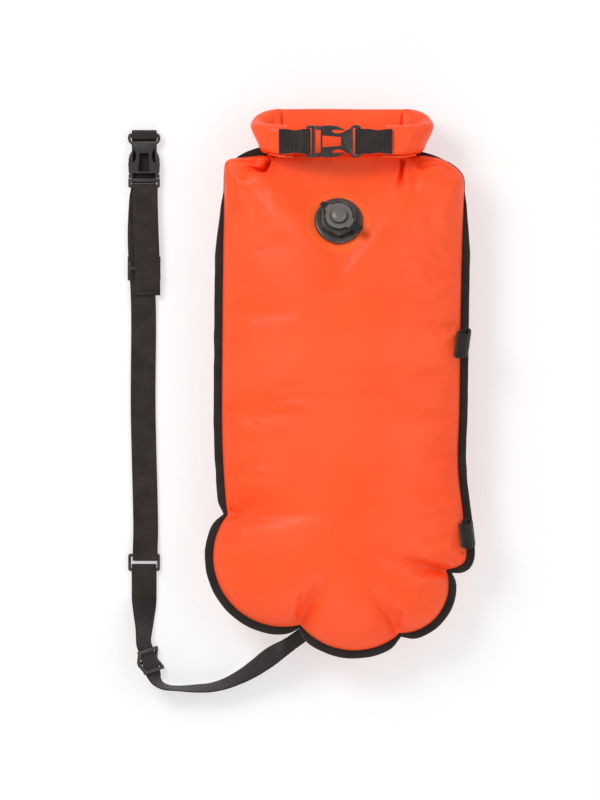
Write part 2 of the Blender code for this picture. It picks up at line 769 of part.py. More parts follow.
def make_roll_webbing():
    """Webbing tabs sewn to the roll's two ends and folded round the buckle's bars."""
    low = ROLL_BUCKLE_Z - PLUG_HALF_THICK - REACH

    def place(along, up, across):
        return along, ROLL_BUCKLE_Y + across, up

    hem = -RING_STRAIGHT / 2 - HEM_LENGTH
    edge = ROLL_BUCKLE_X + PLUG_FAR_EDGE
    wrap = around_bar(edge, PLUG_HALF_THICK, 1, ROLL_BUCKLE_Z)
    bar = ROLL_BUCKLE_X - PLUG_REACH
    over = [(hem, low + LAYER), (bar - 2 * HEM_LENGTH, low + LAYER), (bar - HEM_LENGTH / 2, wrap[0][1])]
    under = [(hem + HEM_LENGTH, low)]
    ribbon("roll_webbing_left", over + wrap + under, place, WEBBING_BLACK)
    hem = RING_STRAIGHT / 2 - RING_FRONT_RIGHT + HEM_LENGTH
    edge = ROLL_BUCKLE_X + SOCKET_FAR_EDGE
    wrap = around_bar(edge, SOCKET_BAR_HALF_THICK, -1, ROLL_BUCKLE_Z)
    bar = ROLL_BUCKLE_X + SOCKET_LENGTH
    over = [(hem, low + LAYER), (bar + 2 * HEM_LENGTH, low + LAYER), (bar + HEM_LENGTH / 2, wrap[0][1])]
    under = [(bar + HEM_LENGTH, low), (hem - HEM_LENGTH, low)]
    ribbon("roll_webbing_right", over + wrap + under, place, WEBBING_BLACK)


# Air valve

def valve_frame(skin):
    """The valve stands square to the front skin."""
    down = Vector((0.0, 0.0, -1.0))
    high = 2 * (SEAM_HEIGHT + FRONT_BULGE)
    spot, _ = meet_skin(skin, Vector((VALVE_X, VALVE_Y, high)), down)
    ends = []
    for x, y in ((-1, 0), (1, 0), (0, -1), (0, 1)):
        place = Vector((VALVE_X + x * COLLAR_RADIUS, VALVE_Y + y * COLLAR_RADIUS, high))
        ends.append(meet_skin(skin, place, down)[0])
    up = (ends[1] - ends[0]).cross(ends[3] - ends[2]).normalized()
    turn = Vector((0.0, 0.0, 1.0)).rotation_difference(up).to_matrix().to_4x4()
    lift = 0.0
    for radius in (COLLAR_RADIUS / 2, COLLAR_RADIUS):
        for x, y, z in circle(radius, 24, COLLAR_RADIUS):
            touched = meet_skin(skin, spot + turn @ Vector((x, y, z)), -up)[0]
            lift = max(lift, (touched - spot).dot(up))
    return Matrix.Translation(spot + up * lift) @ turn


def hexagon(radius, count, height):
    """A hexagon with rounded corners."""
    ring = []
    for x, y, z in circle(1.0, count, height):
        turn = math.atan2(y, x) % (math.pi / 3) - math.pi / 6
        flat_radius = math.cos(math.pi / 6) / math.cos(turn)
        reach = radius * min(flat_radius * 1.03, 1.0)
        ring.append((x * reach, y * reach, z))
    return ring


def make_weld_flange(skin, frame):
    """The soft disc that is welded under the skin and carries the valve."""
    count = 24
    hole = BARREL_RADIUS + GAP * 3
    middle = (hole + WELD_RADIUS) / 2
    order = ((hole, 0), (middle, 0), (WELD_RADIUS, 0), (WELD_RADIUS, 1), (middle, 1), (hole, 1))
    up = frame.to_3x3() @ Vector((0.0, 0.0, 1.0))
    rings = []
    for radius, under in order:
        ring = []
        for x, y, _ in circle(radius, count, 0.0):
            spot, facing = meet_skin(skin, frame @ Vector((x, y, WELD_RADIUS)), -up)
            drop = (SKIN + 3 * GAP) / facing.dot(up) + under * SKIN
            ring.append(spot - up * drop)
        rings.append(ring)
    add_object("valve_weld_flange", rings, ORANGE, loop=True)


def make_valve(skin):
    frame = valve_frame(skin)
    hole = add_object("front_skin.hole", turned([
        (BARREL_RADIUS + GAP * 3, -COLLAR_RADIUS), (BARREL_RADIUS + GAP * 3, COLLAR_RADIUS),
    ], 24), None, frame)
    cut(skin, hole)
    make_weld_flange(skin, frame)
    inside = BARREL_RADIUS - BARREL_WALL
    base = [
        (inside, -BARREL_DEPTH), (BARREL_RADIUS, -BARREL_DEPTH), (BARREL_RADIUS, GAP),
        (COLLAR_RADIUS, GAP), (COLLAR_RADIUS, GAP + COLLAR_THICK / 2),
        (COLLAR_RADIUS - COLLAR_THICK / 2, COLLAR_TOP), (inside, COLLAR_TOP),
    ]
    add_object("valve_base", turned(base, 36), PLASTIC_BLACK, frame, loop=True)
    make_valve_body(frame, inside - GAP)
    seal = []
    for i in range(8):
        turn = 2 * math.pi * i / 8
        middle = (COLLAR_TOP + HEX_BOTTOM) / 2
        across, up = math.cos(turn), math.sin(turn)
        seal.append((SEAL_RADIUS + SEAL_SECTION * across, middle + SEAL_SECTION * up))
    add_object("valve_seal", turned(seal, 24), SOFT_BLACK, frame, loop=True)
    make_valve_cap(frame)
    make_valve_tether(frame)
    return frame


def make_valve_body(frame, stem):
    """The hexagonal body that unscrews to let the air out, with the flap's seat in its bore."""
    count = 36
    shelf = BODY_BOTTOM + WEB_THICK
    neck = TETHER_RADIUS + GAP
    rings = [
        circle(stem, count, BODY_BOTTOM), circle(stem, count, HEX_BOTTOM),
        hexagon(HEX_RADIUS, count, HEX_BOTTOM + CHAMFER),
        hexagon(HEX_RADIUS, count, BODY_TOP - 4 * CHAMFER),
        hexagon(HEX_RADIUS - 2 * CHAMFER, count, BODY_TOP - 2 * CHAMFER),
        circle(neck, count, BODY_TOP - 2 * CHAMFER), circle(neck, count, BODY_TOP),
        circle(BORE_RADIUS, count, BODY_TOP), circle(BORE_RADIUS, count, shelf),
        circle(SEAT_RADIUS, count, shelf), circle(SEAT_RADIUS, count, BODY_BOTTOM),
    ]
    body = add_object("valve_body", rings, PLASTIC_BLACK, frame, loop=True)
    reach = (SEAT_RADIUS + BORE_RADIUS) / 2
    quarter = [(reach, -WEB_HALF), (reach, WEB_HALF), (WEB_HALF, WEB_HALF)]
    cross = []
    for _ in range(4):
        cross += quarter
        quarter = [(-y, x) for x, y in quarter]
    low, high = BODY_BOTTOM + GAP, shelf - GAP
    top = high + GAP / 2
    hub = FLAP_STEM + GAP + WEB_HALF
    bore = FLAP_STEM + GAP
    hub_rings = [circle(hub, 12, low - GAP / 2), circle(hub, 12, top)]
    bore_rings = [circle(bore, 12, -COLLAR_RADIUS), circle(bore, 12, 0.0)]
    cut(body, add_object("valve_body.web", as_rings(cross, low, high), None, frame), "UNION")
    cut(body, add_object("valve_body.hub", hub_rings, None, frame), "UNION")
    cut(body, add_object("valve_body.bore", bore_rings, None, frame))
    make_valve_flap(frame, top + FLAP_TRAVEL + GAP, BODY_BOTTOM - GAP)


def make_valve_flap(frame, bulb, disc):
    """The non return flap: a thin disc under the seat, hung by a stem whose bulb sits over the hub."""
    profile = [
        (FLAP_STEM, bulb + FLAP_BULB), (FLAP_BULB, bulb + FLAP_BULB / 2), (FLAP_BULB, bulb),
        (FLAP_STEM, bulb), (FLAP_STEM, disc), (FLAP_RADIUS, disc), (FLAP_RADIUS, disc - FLAP_THICK / 2),
        (FLAP_STEM, disc - FLAP_THICK),
    ]
    add_object("valve_flap", turned(profile, 18), SOFT_BLACK, frame)


def make_valve_cap(frame):
    """The stopper: a skirt in the body's bore, a flange on its rim and a domed knob."""
    rim = BODY_TOP + GAP
    knob = rim + TETHER_THICK
    skirt = BORE_RADIUS - GAP
    profile = [(skirt, rim - CAP_SKIRT), (skirt, rim), (CAP_FLANGE_RADIUS, rim)]
    profile += [(CAP_FLANGE_RADIUS, knob), (CAP_KNOB_RADIUS, knob)]
    profile += [(CAP_KNOB_RADIUS, knob + CAP_HEIGHT / 2)]
    for i in range(1, 4):
        turn = math.pi / 2 * i / 4
        rise = CAP_HEIGHT / 2 * (1 + math.sin(turn))
        profile.append((CAP_KNOB_RADIUS * math.cos(turn), knob + rise))
    add_object("valve_cap", turned(profile, 24), PLASTIC_BLACK, frame)


def make_valve_tether(frame):
    """The soft ring under the cap's flange edge, with a pull tab and the tether's tail."""
    rim = BODY_TOP + GAP
    count = 36
    outline = []
    tail_turn, tab_turn = math.radians(-35), math.radians(138)
    for i in range(count):
        turn = 2 * math.pi * i / count
        direction = Vector((math.cos(turn), math.sin(turn)))
        reach = TETHER_RADIUS
        for toward, length in ((tail_turn, TETHER_REACH), (tab_turn, PULL_TAB_REACH)):
            apart = abs((turn - toward + math.pi) % (2 * math.pi) - math.pi)
            if apart < math.asin(TAB_HALF / TETHER_RADIUS):
                reach = length / math.cos(apart)
        outline.append((direction.x * reach, direction.y * reach))
    ring = add_object("valve_tether", as_rings(outline, rim, rim + TETHER_THICK), SOFT_BLACK, frame)
    hole = CAP_FLANGE_RADIUS + GAP
    hole_rings = [circle(hole, 24, rim - OVERRUN), circle(hole, 24, rim + OVERRUN)]
    cut(ring, add_object("valve_tether.hole", hole_rings, None, frame))


# Straps, sliders and rings

def make_gear_loops(points):
    for name, level in (("gear_loop_upper", LOOP_UPPER_Y), ("gear_loop_lower", LOOP_LOWER_Y)):
        spine = Vector((0.0, level))
        weld = outline_hit(points, spine, Vector((1.0, 0.0)))
        base = seam_height(weld) + BINDING_OUTSIDE + REACH

        def place(along, up, across):
            return weld.x + along, level + across, base + up

        path = [Vector((a * LOOP_RADIUS, b * LOOP_RADIUS)) for a, b in LOOP_SHARES]
        ribbon(name, [tuple(p) for p in smooth(path, 2)], place, WEBBING_BLACK, width=LOOP_WIDTH)


def make_slider(name, matrix):
    """A bowed three bar slide: the strap runs straight over its end bars and under its middle bar."""
    half_width, half_length = SLIDER_WIDTH / 2, SLIDER_LENGTH / 2
    steps = 6
    shape = bmesh.new()
    slot_half = WEBBING / 2 + GAP * 2
    end_bar = half_length - SLIDER_BAR
    span = end_bar - SLIDER_BAR / 2
    upper = [SLIDER_BAR / 2 + span * i / 3 for i in range(4)] + [half_length]
    stops = [-y for y in reversed(upper)] + upper
    columns = [-half_width, -slot_half, slot_half, half_width]

    def height(along):
        share = (abs(along) - SLIDER_BAR / 2) / span
        return SLIDER_RISE * (1 - 2 * min(max(share, 0.0), 1.0))

    grid = [[shape.verts.new((x, y, height(y))) for x in columns] for y in stops]
    open_rows = (1, 2, 3, 5, 6, 7)
    for i in range(len(stops) - 1):
        for j in range(3):
            if j == 1 and i in open_rows:
                continue
            shape.faces.new((grid[i][j], grid[i][j + 1], grid[i + 1][j + 1], grid[i + 1][j]))
    slider = store(name, shape, PLASTIC_BLACK, matrix)
    thicken(slider, SLIDER_THICK)
    slider.modifiers["thickness"].offset = 0.0
    return slider


def make_belt():
    """One strap in layers: from the socket down the floor, round the ring, and back up to the plug."""
    def place(along, up, across):
        return BELT_X + across, along, up

    ring_bar = BELT_RING_Y + RING_LENGTH / 2
    far = ring_bar - RING_BAR
    ring_wrap = around_bar(far, RING_THICK / 2, -1, RING_BAR_Z)
    bar_edge = BELT_BUCKLE_Y + SOCKET_FAR_EDGE
    socket_wrap = around_bar(bar_edge, SOCKET_BAR_HALF_THICK, -1, BELT_BUCKLE_Z)
    top = bar_edge + SOCKET_LENGTH - SOCKET_FAR_EDGE + 2 * REACH
    low_adjuster = ADJUSTER_Y - SLIDER_LENGTH
    strap = [
        (END_LOOP_BREAK_Y - GAP, ADJUSTER_Z), (low_adjuster, ADJUSTER_Z),
        (low_adjuster - SLIDER_LENGTH, FLOOR_LAYER + LAYER),
        (ring_bar + SLIDER_LENGTH, FLOOR_LAYER + LAYER), (ring_bar, ring_wrap[0][1]),
    ]
    strap += ring_wrap
    strap += [(BELT_BUCKLE_Y, FLOOR_LAYER), (top - REACH, FLOOR_LAYER)]
    strap += [(top + REACH, FLOOR_LAYER + 2 * REACH)]
    strap += [(top + REACH, socket_wrap[0][1] - 2 * REACH), (top - REACH, socket_wrap[0][1])]
    strap += socket_wrap
    strap += [(top - 4 * REACH, socket_wrap[-1][1])]
    ribbon("belt_strap", strap, place, WEBBING_BLACK)
    plug_edge = BELT_BUCKLE_Y + PLUG_FAR_EDGE
    plug_wrap = around_bar(plug_edge, PLUG_HALF_THICK, 1, BELT_BUCKLE_Z)
    over = ADJUSTER_Z + SLIDER_RISE + SLIDER_THICK / 2 + REACH
    high_adjuster = ADJUSTER_Y - SLIDER_LENGTH / 2
    loop = [(END_HEM_Y, ADJUSTER_Z + LAYER), (END_HEM_Y + HEM_LENGTH, ADJUSTER_Z + LAYER)]
    loop += [(high_adjuster, over), (END_LOOP_BREAK_Y, over)]
    loop += [(plug_edge - 2 * HEM_LENGTH, plug_wrap[0][1])]
    loop += plug_wrap
    loop += [(plug_edge - HEM_LENGTH, plug_wrap[-1][1])]
    loop += [(END_LOOP_BREAK_Y + 2 * HEM_LENGTH, plug_wrap[-1][1]), (END_LOOP_BREAK_Y, ADJUSTER_Z)]
    ribbon("belt_end_loop", loop, place, WEBBING_BLACK)


def make_belt_ring():
    half_width, half_length = RING_WIDTH / 2, RING_LENGTH / 2
    spot = Matrix.Translation((BELT_X, BELT_RING_Y, RING_BAR_Z))
    corner = RING_BAR / 2
    outline = both_sides([
        (-half_width, half_length - corner), (corner - half_width, half_length),
        (half_width - corner, half_length), (half_width, half_length - corner),
    ])
    ring = chamfered_slab("belt_ring", outline, RING_THICK / 2, PLASTIC_BLACK, spot)
    hole_half = WEBBING / 2 + 2 * GAP
    inner = both_sides([(-hole_half, half_length - RING_BAR), (hole_half, half_length - RING_BAR)])
    cut(ring, add_object("belt_ring.hole", as_rings(inner, -RING_THICK, RING_THICK), None, spot))


def make_leash_end():
    """The leash's own end, folded round the ring's lower bar and sewn to itself."""
    def place(along, up, across):
        return BELT_X + across, along, up

    edge = BELT_RING_Y - RING_LENGTH / 2 + RING_BAR
    wrap = around_bar(edge, RING_THICK / 2, 1, RING_BAR_Z)
    low = edge - RING_BAR
    path = [(LEASH_ROUTE[0][1] + 3 * GAP, FLOOR_LAYER + LAYER)]
    path += [(low - HEM_LENGTH, FLOOR_LAYER + LAYER), (low, wrap[0][1])]
    path += wrap
    path += [(low - SEWN_LENGTH, FLOOR_LAYER)]
    ribbon("leash_end_loop", path, place, WEBBING_BLACK)


def leash_frames():
    """Centre, direction, width direction and face direction at each step of the leash."""
    raw = []
    for x, y, clear, lean in LEASH_ROUTE:
        turn = math.radians(abs(lean))
        rise = WEBBING / 2 * math.sin(turn) + WEBBING_THICK / 2 * math.cos(turn)
        raw.append((x, y, clear + rise, lean))
    spots = smooth([p[:3] for p in raw], LEASH_STEPS)
    leans = smooth([(p[3], 0.0) for p in raw], LEASH_STEPS)
    frames = []
    for i, spot in enumerate(spots):
        ahead = spots[min(i + 1, len(spots) - 1)] - spots[max(i - 1, 0)]
        if i in (0, len(spots) - 1):
            ahead.z = 0.0
        ahead.normalize()
        level = Vector((0.0, 0.0, 1.0)).cross(ahead).normalized()
        face = ahead.cross(level)
        turn = math.radians(leans[i].x)
        width = level * math.cos(turn) + face * math.sin(turn)
        frames.append((spot, ahead, width, ahead.cross(width)))
    return frames


def make_leash():
    frames = leash_frames()
    rings = []
    for spot, _, width, face in frames:
        ring = []
        for a, b in ((-1, -1), (1, -1), (1, 1), (-1, 1)):
            ring.append(spot + width * (a * WEBBING / 2) + face * (b * WEBBING_THICK / 2))
        rings.append(ring)
    add_object("leash_strap", rings, WEBBING_BLACK)
    spot, ahead, width, face = frames[LEASH_SLIDER_POINT * LEASH_STEPS]
    turn = Matrix((width, ahead, -face)).transposed().to_4x4()
    make_slider("leash_slider", Matrix.Translation(spot) @ turn)
    spot, ahead, width, face = frames[-1]
    start = spot + ahead * GAP
    rings = []
    for along in (0.0, ANCHOR_LENGTH):
        ring = []
        for a, b in ((-1, -1), (1, -1), (1, 1), (-1, 1)):
            flat = Vector((ahead.x, ahead.y, 0.0)).normalized() * along
            up = Vector((0.0, 0.0, b * WEBBING_THICK / 2))
            ring.append(start + flat + width * (a * ANCHOR_WIDTH / 2) + up)
        rings.append(ring)
    add_object("leash_anchor_tab", rings, WEBBING_BLACK)


def main():
    clear_scene()
    points, notches = weld_line()
    skin = make_bag(points, notches)
    make_binding(points)
    make_roll()
    make_valve(skin)
    roll_buckle = Matrix.Translation((ROLL_BUCKLE_X, ROLL_BUCKLE_Y, ROLL_BUCKLE_Z))
    make_socket("roll_buckle_socket", roll_buckle)
    make_plug("roll_buckle_plug", roll_buckle)
    make_arms(("roll_plug_arm_upper", "roll_plug_arm_lower"), roll_buckle)
    make_roll_webbing()
    quarter = Matrix(((0, -1, 0, 0), (1, 0, 0, 0), (0, 0, 1, 0), (0, 0, 0, 1)))
    belt_buckle = Matrix.Translation((BELT_X, BELT_BUCKLE_Y, BELT_BUCKLE_Z)) @ quarter
    make_socket("belt_buckle_socket", belt_buckle)
    make_plug("belt_buckle_plug", belt_buckle)
    make_arms(("belt_plug_arm_left", "belt_plug_arm_right"), belt_buckle)
    make_belt()
    make_slider("belt_adjuster", Matrix.Translation((BELT_X, ADJUSTER_Y, ADJUSTER_Z)))
    make_belt_ring()
    make_gear_loops(points)
    make_leash_end()
    make_leash()


main()
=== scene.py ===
"""Looks of the open water swim buoy: inflated skins, rolled mouth, webbing, mouldings, light and camera.

Everything is in metres in the CAD model's own frame: X across the bag, Y towards the rolled mouth, Z up.
"""

import math

import bmesh
import bpy
import numpy as np
from mathutils import Matrix, Vector, noise
from mathutils.geometry import delaunay_2d_cdt


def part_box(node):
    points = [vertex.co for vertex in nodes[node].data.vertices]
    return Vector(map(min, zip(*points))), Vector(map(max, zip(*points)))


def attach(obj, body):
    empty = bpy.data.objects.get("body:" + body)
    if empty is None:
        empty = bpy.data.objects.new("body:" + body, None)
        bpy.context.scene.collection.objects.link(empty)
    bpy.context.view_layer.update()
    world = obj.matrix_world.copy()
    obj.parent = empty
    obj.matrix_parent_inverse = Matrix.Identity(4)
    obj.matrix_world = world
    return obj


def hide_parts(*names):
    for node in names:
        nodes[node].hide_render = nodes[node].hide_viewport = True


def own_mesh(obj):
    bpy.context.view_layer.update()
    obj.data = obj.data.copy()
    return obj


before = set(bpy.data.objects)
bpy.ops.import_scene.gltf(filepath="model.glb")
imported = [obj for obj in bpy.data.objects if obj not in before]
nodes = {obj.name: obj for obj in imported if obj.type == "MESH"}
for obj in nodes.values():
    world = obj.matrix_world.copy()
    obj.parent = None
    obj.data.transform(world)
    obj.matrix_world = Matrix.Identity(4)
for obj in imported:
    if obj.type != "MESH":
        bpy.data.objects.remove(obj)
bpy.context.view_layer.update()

# Sizes repeated from the CAD model
BAG_HALF_WIDTH = 0.12
BAG_UP = 0.23486
BAG_DOWN = 0.262
SEAM_HEIGHT = 0.046
BULGE = 0.049
RING_LOW = 0.032
NECK_BLEND = 0.06
NECK_DIP_FLAT = 0.045
NECK_DIP_END = 0.105
FLANGE = 0.007
NECK_RIM = 0.2357
NECK_FLANGE_SHARE = 0.12
SHOULDER_TOP = 0.205
SHOULDER_FADE = 0.08
SHOULDER_DEPTH = 0.07
SHOULDER_INSIDE = 0.086
SHOULDER_CORNER = 0.02
SHOULDER_SWELL = 0.012
SWELL_END_SHARE = 0.25
PUCKER_WIDTH = 0.011
SIDE_PUCKER_WIDTH = 0.02
FOLD_LENGTH = 0.032
PUCKER_SHARE = 0.72
SPINE_UP = 0.11
SPINE_DOWN = 0.15
STACK_HALF = 0.0014
SKIN = 0.0008
DIVIDER = 0.0006
VALVE = Vector((-0.003484, 0.168259, 0.083479))
VALVE_AXIS = Vector((0.021134, 0.343974, 0.938741))
VALVE_HOLE = 0.0175
TAB_ROOT = 0.0137
TAB_TIP_SHARE = 0.58
KNOB_GROWTH = 1.15
ROLL_BOTTOM = 0.236
ROLL_BACK_HEIGHT = 0.047
ROLL_FRONT_HEIGHT = 0.033
ROLL_FRONT_DROP = 0.004
ROLL_DROP_SHARE = 0.6
ROLL_NECK_REACH = 0.0026
ROLL_FLARE_LENGTH = 0.3
ROLL_MIDDLE = ROLL_BOTTOM + ROLL_BACK_HEIGHT / 2
ROLL_SHEET = 0.0017
ROLL_PITCH = 0.0026
ROLL_START = 0.0011
ROLL_TURNS = 2.5
RING_RADIUS = 0.025
RING_STRAIGHT = 0.112
RING_FRONT_LEFT = 0.002
RING_FRONT_RIGHT = 0.013
WEBBING = 0.025
WEBBING_THICK = 0.0013
ROLL_BUCKLE = Vector((-0.0214, 0.2475, 0.0924))
BELT_X = -0.1985
BELT_BUCKLE_Y = 0.2175
BELT_BUCKLE_Z = 0.0056
REACH = 0.00095
LAYER = 0.0016
ADJUSTER = Vector((BELT_X, 0.122, 0.00475))
BELT_RING_Y = -0.173
BELT_RING_Z = 0.0029
RING_HALF = 0.0088
RING_BAR_HALF = 0.0013
SOCKET_BAR_Y = 0.0356
SOCKET_BAR_HALF = 0.0018
PLUG_BAR_Y = 0.0115
PLUG_BAR_HALF = 0.002

# Finer sizes that only the looks have
SHARP_ANGLE = 40
WELD_STEP = 0.0035
FRONT_STEP = 0.0038
BACK_STEP = 0.0075
DIVIDER_STEP = 0.012
BINDING_STEP = 0.003
WELD_OUTSIDE = 0.0333
WELD_INSIDE = 0.032
TIPS_OUTSIDE = 0.0165
TIPS_INSIDE = 0.0145
BAR_STEPS = 8
STITCH_PITCH = 0.0022
STITCH_SIZE = 0.0006
STITCH_INSET = 0.0015
STITCH_TURNS = (0.0, 1.2566, 2.5133, 3.7699, 5.0265)
LEASH_NARROWING = 0.034
UP = Vector((0.0, 0.0, 1.0))
RIGHT = Vector((1.0, 0.0, 0.0))
AHEAD = Vector((0.0, 1.0, 0.0))

# Camera, light and floor: the height that the view takes in, and each lamp's name, place, size and power
VIEW_HEIGHT = 0.8
LENS = 500.0
SENSOR = 36.0
FLOOR_LEVEL = -0.0008
WORLD_STRENGTH = 0.52
LAMPS = (
    ("key", (-1.1, 1.0, 1.7), 0.9, 25.0),
    ("fill", (1.3, 0.2, 1.5), 1.4, 8.0),
    ("low", (0.0, -1.6, 1.0), 1.4, 8.0),
)
DISC_ORANGE = (0.9, 0.135, 0.016, 1)
# Black painted into crevices as shade by ambient occlusion, also the colour of the tether's dark tips
SHADE_AND_TIP_BLACK = (0.006, 0.005, 0.005, 1)

# One face of a strap's section, as shares of its width and thickness
STRAP_EDGE = [
    (-0.5, 0.12), (-0.478, 0.4), (-0.42, 0.5), (-0.15, 0.5), (0.15, 0.5), (0.42, 0.5), (0.478, 0.4),
    (0.5, 0.12),
]

# The roll's tabs: side, way to the buckle, hem, edge wrapped, its bar's half thickness, the bar's far side,
# and folds as (distance from the hem, height), of which the fourth is the sharp one
ROLL_TABS = (
    ("left", 1, -RING_STRAIGHT / 2 - 0.007, -PLUG_BAR_Y, PLUG_BAR_HALF, -0.0145,
     ((0.006, 0.0003), (0.0115, 0.0004), (0.0135, -0.0002), (0.016, 0.0011), (0.02, 0.0013))),
    ("right", -1, RING_STRAIGHT / 2 - RING_FRONT_RIGHT + 0.007, SOCKET_BAR_Y, SOCKET_BAR_HALF, 0.04,
     ((0.006, 0.0003), (0.0095, 0.0004), (0.0115, -0.0002), (0.014, 0.0011), (0.018, 0.0012))),
)

# Points of the weld line, as shares of the half width and of the length up to the neck or down to the foot
LEFT_SIDE_SHARES = [
    (-0.69, 1.0), (-0.8, 0.993), (-0.88, 0.984), (-0.945, 0.97), (-0.975, 0.945), (-0.981, 0.889),
    (-0.985, 0.8), (-0.992, 0.59), (-1.0, 0.17), (-1.0, -0.19), (-0.963, -0.477),
]
RIGHT_SIDE_SHARES = [
    (0.875, -0.687), (0.96, -0.676), (1.025, -0.655), (1.04, -0.605), (1.01, -0.47), (0.968, -0.282),
    (0.981, -0.057), (0.996, 0.467), (1.012, 0.72), (1.018, 0.84), (1.015, 0.9), (0.975, 0.935),
    (0.9, 0.965), (0.8, 0.988), (0.69, 1.0),
]
FOOT_NOTCH_SHARES = [(-0.963, -0.477), (-0.35, -0.897), (0.483, -0.93), (0.875, -0.687)]
LOBE_BULGE_SHARES = [0.35, 0.21, 0.25]

# The leash's route: x, y, how far its lower edge is off the floor, and its lean in degrees
LEASH_ROUTE = [
    (-0.1985, -0.2073, 0.0016, 0), (-0.1985, -0.22, 0.001, -25), (-0.1987, -0.234, 0.002, -42),
    (-0.1989, -0.245, 0.0046, -52), (-0.1986, -0.2543, 0.0052, -54), (-0.1968, -0.26, 0.0052, -54),
    (-0.1932, -0.2715, 0.0052, -54), (-0.1896, -0.283, 0.0052, -54), (-0.1866, -0.2903, 0.0046, -64),
    (-0.1812, -0.2956, 0.0034, -74), (-0.174, -0.2983, 0.002, -79), (-0.1655, -0.2992, 0.001, -80),
    (-0.156, -0.2995, 0.0005, -77), (-0.145, -0.2993, 0.0005, -73), (-0.131, -0.2983, 0.0005, -70),
    (-0.116, -0.2942, 0.0008, -65), (-0.1015, -0.2873, 0.003, -58), (-0.088, -0.279, 0.0085, -50),
    (-0.077, -0.271, 0.015, -44), (-0.0665, -0.264, 0.023, -36), (-0.0585, -0.2586, 0.0335, -20),
    (-0.052, -0.254, 0.0419, 0),
]


# Shape helpers

def set_all(thing, **values):
    for key, value in values.items():
        setattr(thing, key, value)


def in_scene(name, data):
    thing = bpy.data.objects.new(name, data)
    bpy.context.scene.collection.objects.link(thing)
    return thing


def new_object(name, mesh, body, material):
    thing = in_scene(name, mesh)
    mesh.materials.append(material)
    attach(thing, body)
    return thing


def plain_mesh(name, spots, faces):
    mesh = bpy.data.meshes.new(name)
    mesh.from_pydata(spots, [], faces)
    mesh.update()
    return mesh


def smooth_mesh(name, shape):
    """A smooth shaded mesh from a shape, with its faces turned outwards."""
    bmesh.ops.recalc_face_normals(shape, faces=shape.faces)
    mesh = bpy.data.meshes.new(name)
    shape.to_mesh(mesh)
    shape.free()
    mesh.shade_smooth()
    return mesh


def thicken(thing, thickness, offset):
    set_all(thing.modifiers.new("thickness", "SOLIDIFY"), thickness=thickness, offset=offset)


def grid_mesh(name, rows, closed_across=False, uvs=None, caps=False):
    """A mesh from rows of points; uvs gives each row's and each column's place in metres."""
    shape = bmesh.new()
    layer = shape.loops.layers.uv.new("weave")
    made = [[shape.verts.new(p) for p in row] for row in rows]
    count = len(rows[0])
    for i in range(len(rows) - 1):
        for j in range(count if closed_across else count - 1):
            m = (j + 1) % count
            face = shape.faces.new((made[i][j], made[i][m], made[i + 1][m], made[i + 1][j]))
            if uvs:
                places = ((i, j), (i, j + 1), (i + 1, j + 1), (i + 1, j))
                for loop, (a, b) in zip(face.loops, places):
                    loop[layer].uv = (uvs[1][b], uvs[0][a])
    if caps:
        shape.faces.new(made[0])
        shape.faces.new(made[-1])
    mesh = smooth_mesh(name, shape)
    mesh.set_sharp_from_angle(angle=math.radians(SHARP_ANGLE))
    return mesh


def smooth(points, steps):
    """Points on a smooth curve through the given ones, with a number of steps between neighbours."""
    found = []
    last = len(points) - 1
    for i in range(last):
        p0, p1 = Vector(points[max(i - 1, 0)]), Vector(points[i])
        p2, p3 = Vector(points[i + 1]), Vector(points[min(i + 2, last)])
        for k in range(steps):
            t = k / steps
            bend = 2 * p0 - 5 * p1 + 4 * p2 - p3
            twist = 3 * p1 - p0 - 3 * p2 + p3
            found.append((2 * p1 + (p2 - p0) * t + bend * t * t + twist * t * t * t) / 2)
    found.append(Vector(points[last]))
    return found


def lengths_of(line):
    """How far along a line each of its points is."""
    found = [0.0]
    for a, b in zip(line, line[1:]):
        found.append(found[-1] + (b - a).length)
    return found


def ahead_at(line, i):
    """From the point before one of a line's points to the point after it."""
    return line[min(i + 1, len(line) - 1)] - line[max(i - 1, 0)]


def evened(points, spacing):
    """The same line with points at even distances, ends kept."""
    lengths = lengths_of(points)
    count = max(2, round(lengths[-1] / spacing))
    found = []
    k = 0
    for i in range(count):
        want = lengths[-1] * i / count
        while lengths[k + 1] < want:
            k += 1
        share = (want - lengths[k]) / (lengths[k + 1] - lengths[k])
        found.append(points[k].lerp(points[k + 1], share))
    found.append(points[-1])
    return found


def blend(share):
    share = min(max(share, 0.0), 1.0)
    return share * share * (3 - 2 * share)


# Materials

def nodes_of(name):
    material = bpy.data.materials.new(name)
    material.use_nodes = True
    tree = material.node_tree
    return material, tree, tree.nodes["Principled BSDF"]


def fill(tree, node, values):
    """Set a node's inputs, or link those whose value is another node's output."""
    for key, value in values.items():
        if isinstance(value, bpy.types.NodeSocket):
            tree.links.new(value, node.inputs[key])
        else:
            node.inputs[key].default_value = value


def add(tree, kind, values=None, **settings):
    node = tree.nodes.new(f"ShaderNode{kind}")
    set_all(node, **settings)
    fill(tree, node, values or {})
    return node


def maths(tree, operation, *values, **settings):
    return add(tree, "Math", dict(enumerate(values)), operation=operation, **settings).outputs[0]


def speckle(tree, where, scale, detail):
    return add(tree, "TexNoise", {"Vector": where, "Scale": scale, "Detail": detail}).outputs["Fac"]


def bands(tree, where, way, scale, distortion, detail=2.0):
    values = {"Vector": where, "Scale": scale, "Distortion": distortion, "Detail": detail}
    return add(tree, "TexWave", values, bands_direction=way).outputs["Fac"]


def mixed(tree, factor, low, high):
    """A colour between two, by a factor."""
    return add(tree, "Mix", {0: factor, 6: low, 7: high}, data_type="RGBA").outputs[2]


def ramp(tree, source, low, high, start=0.0, end=1.0):
    """A value that goes from start to end while its source goes from low to high."""
    values = {"Value": source, "From Min": low, "From Max": high, "To Min": start, "To Max": end}
    return add(tree, "MapRange", values).outputs["Result"]


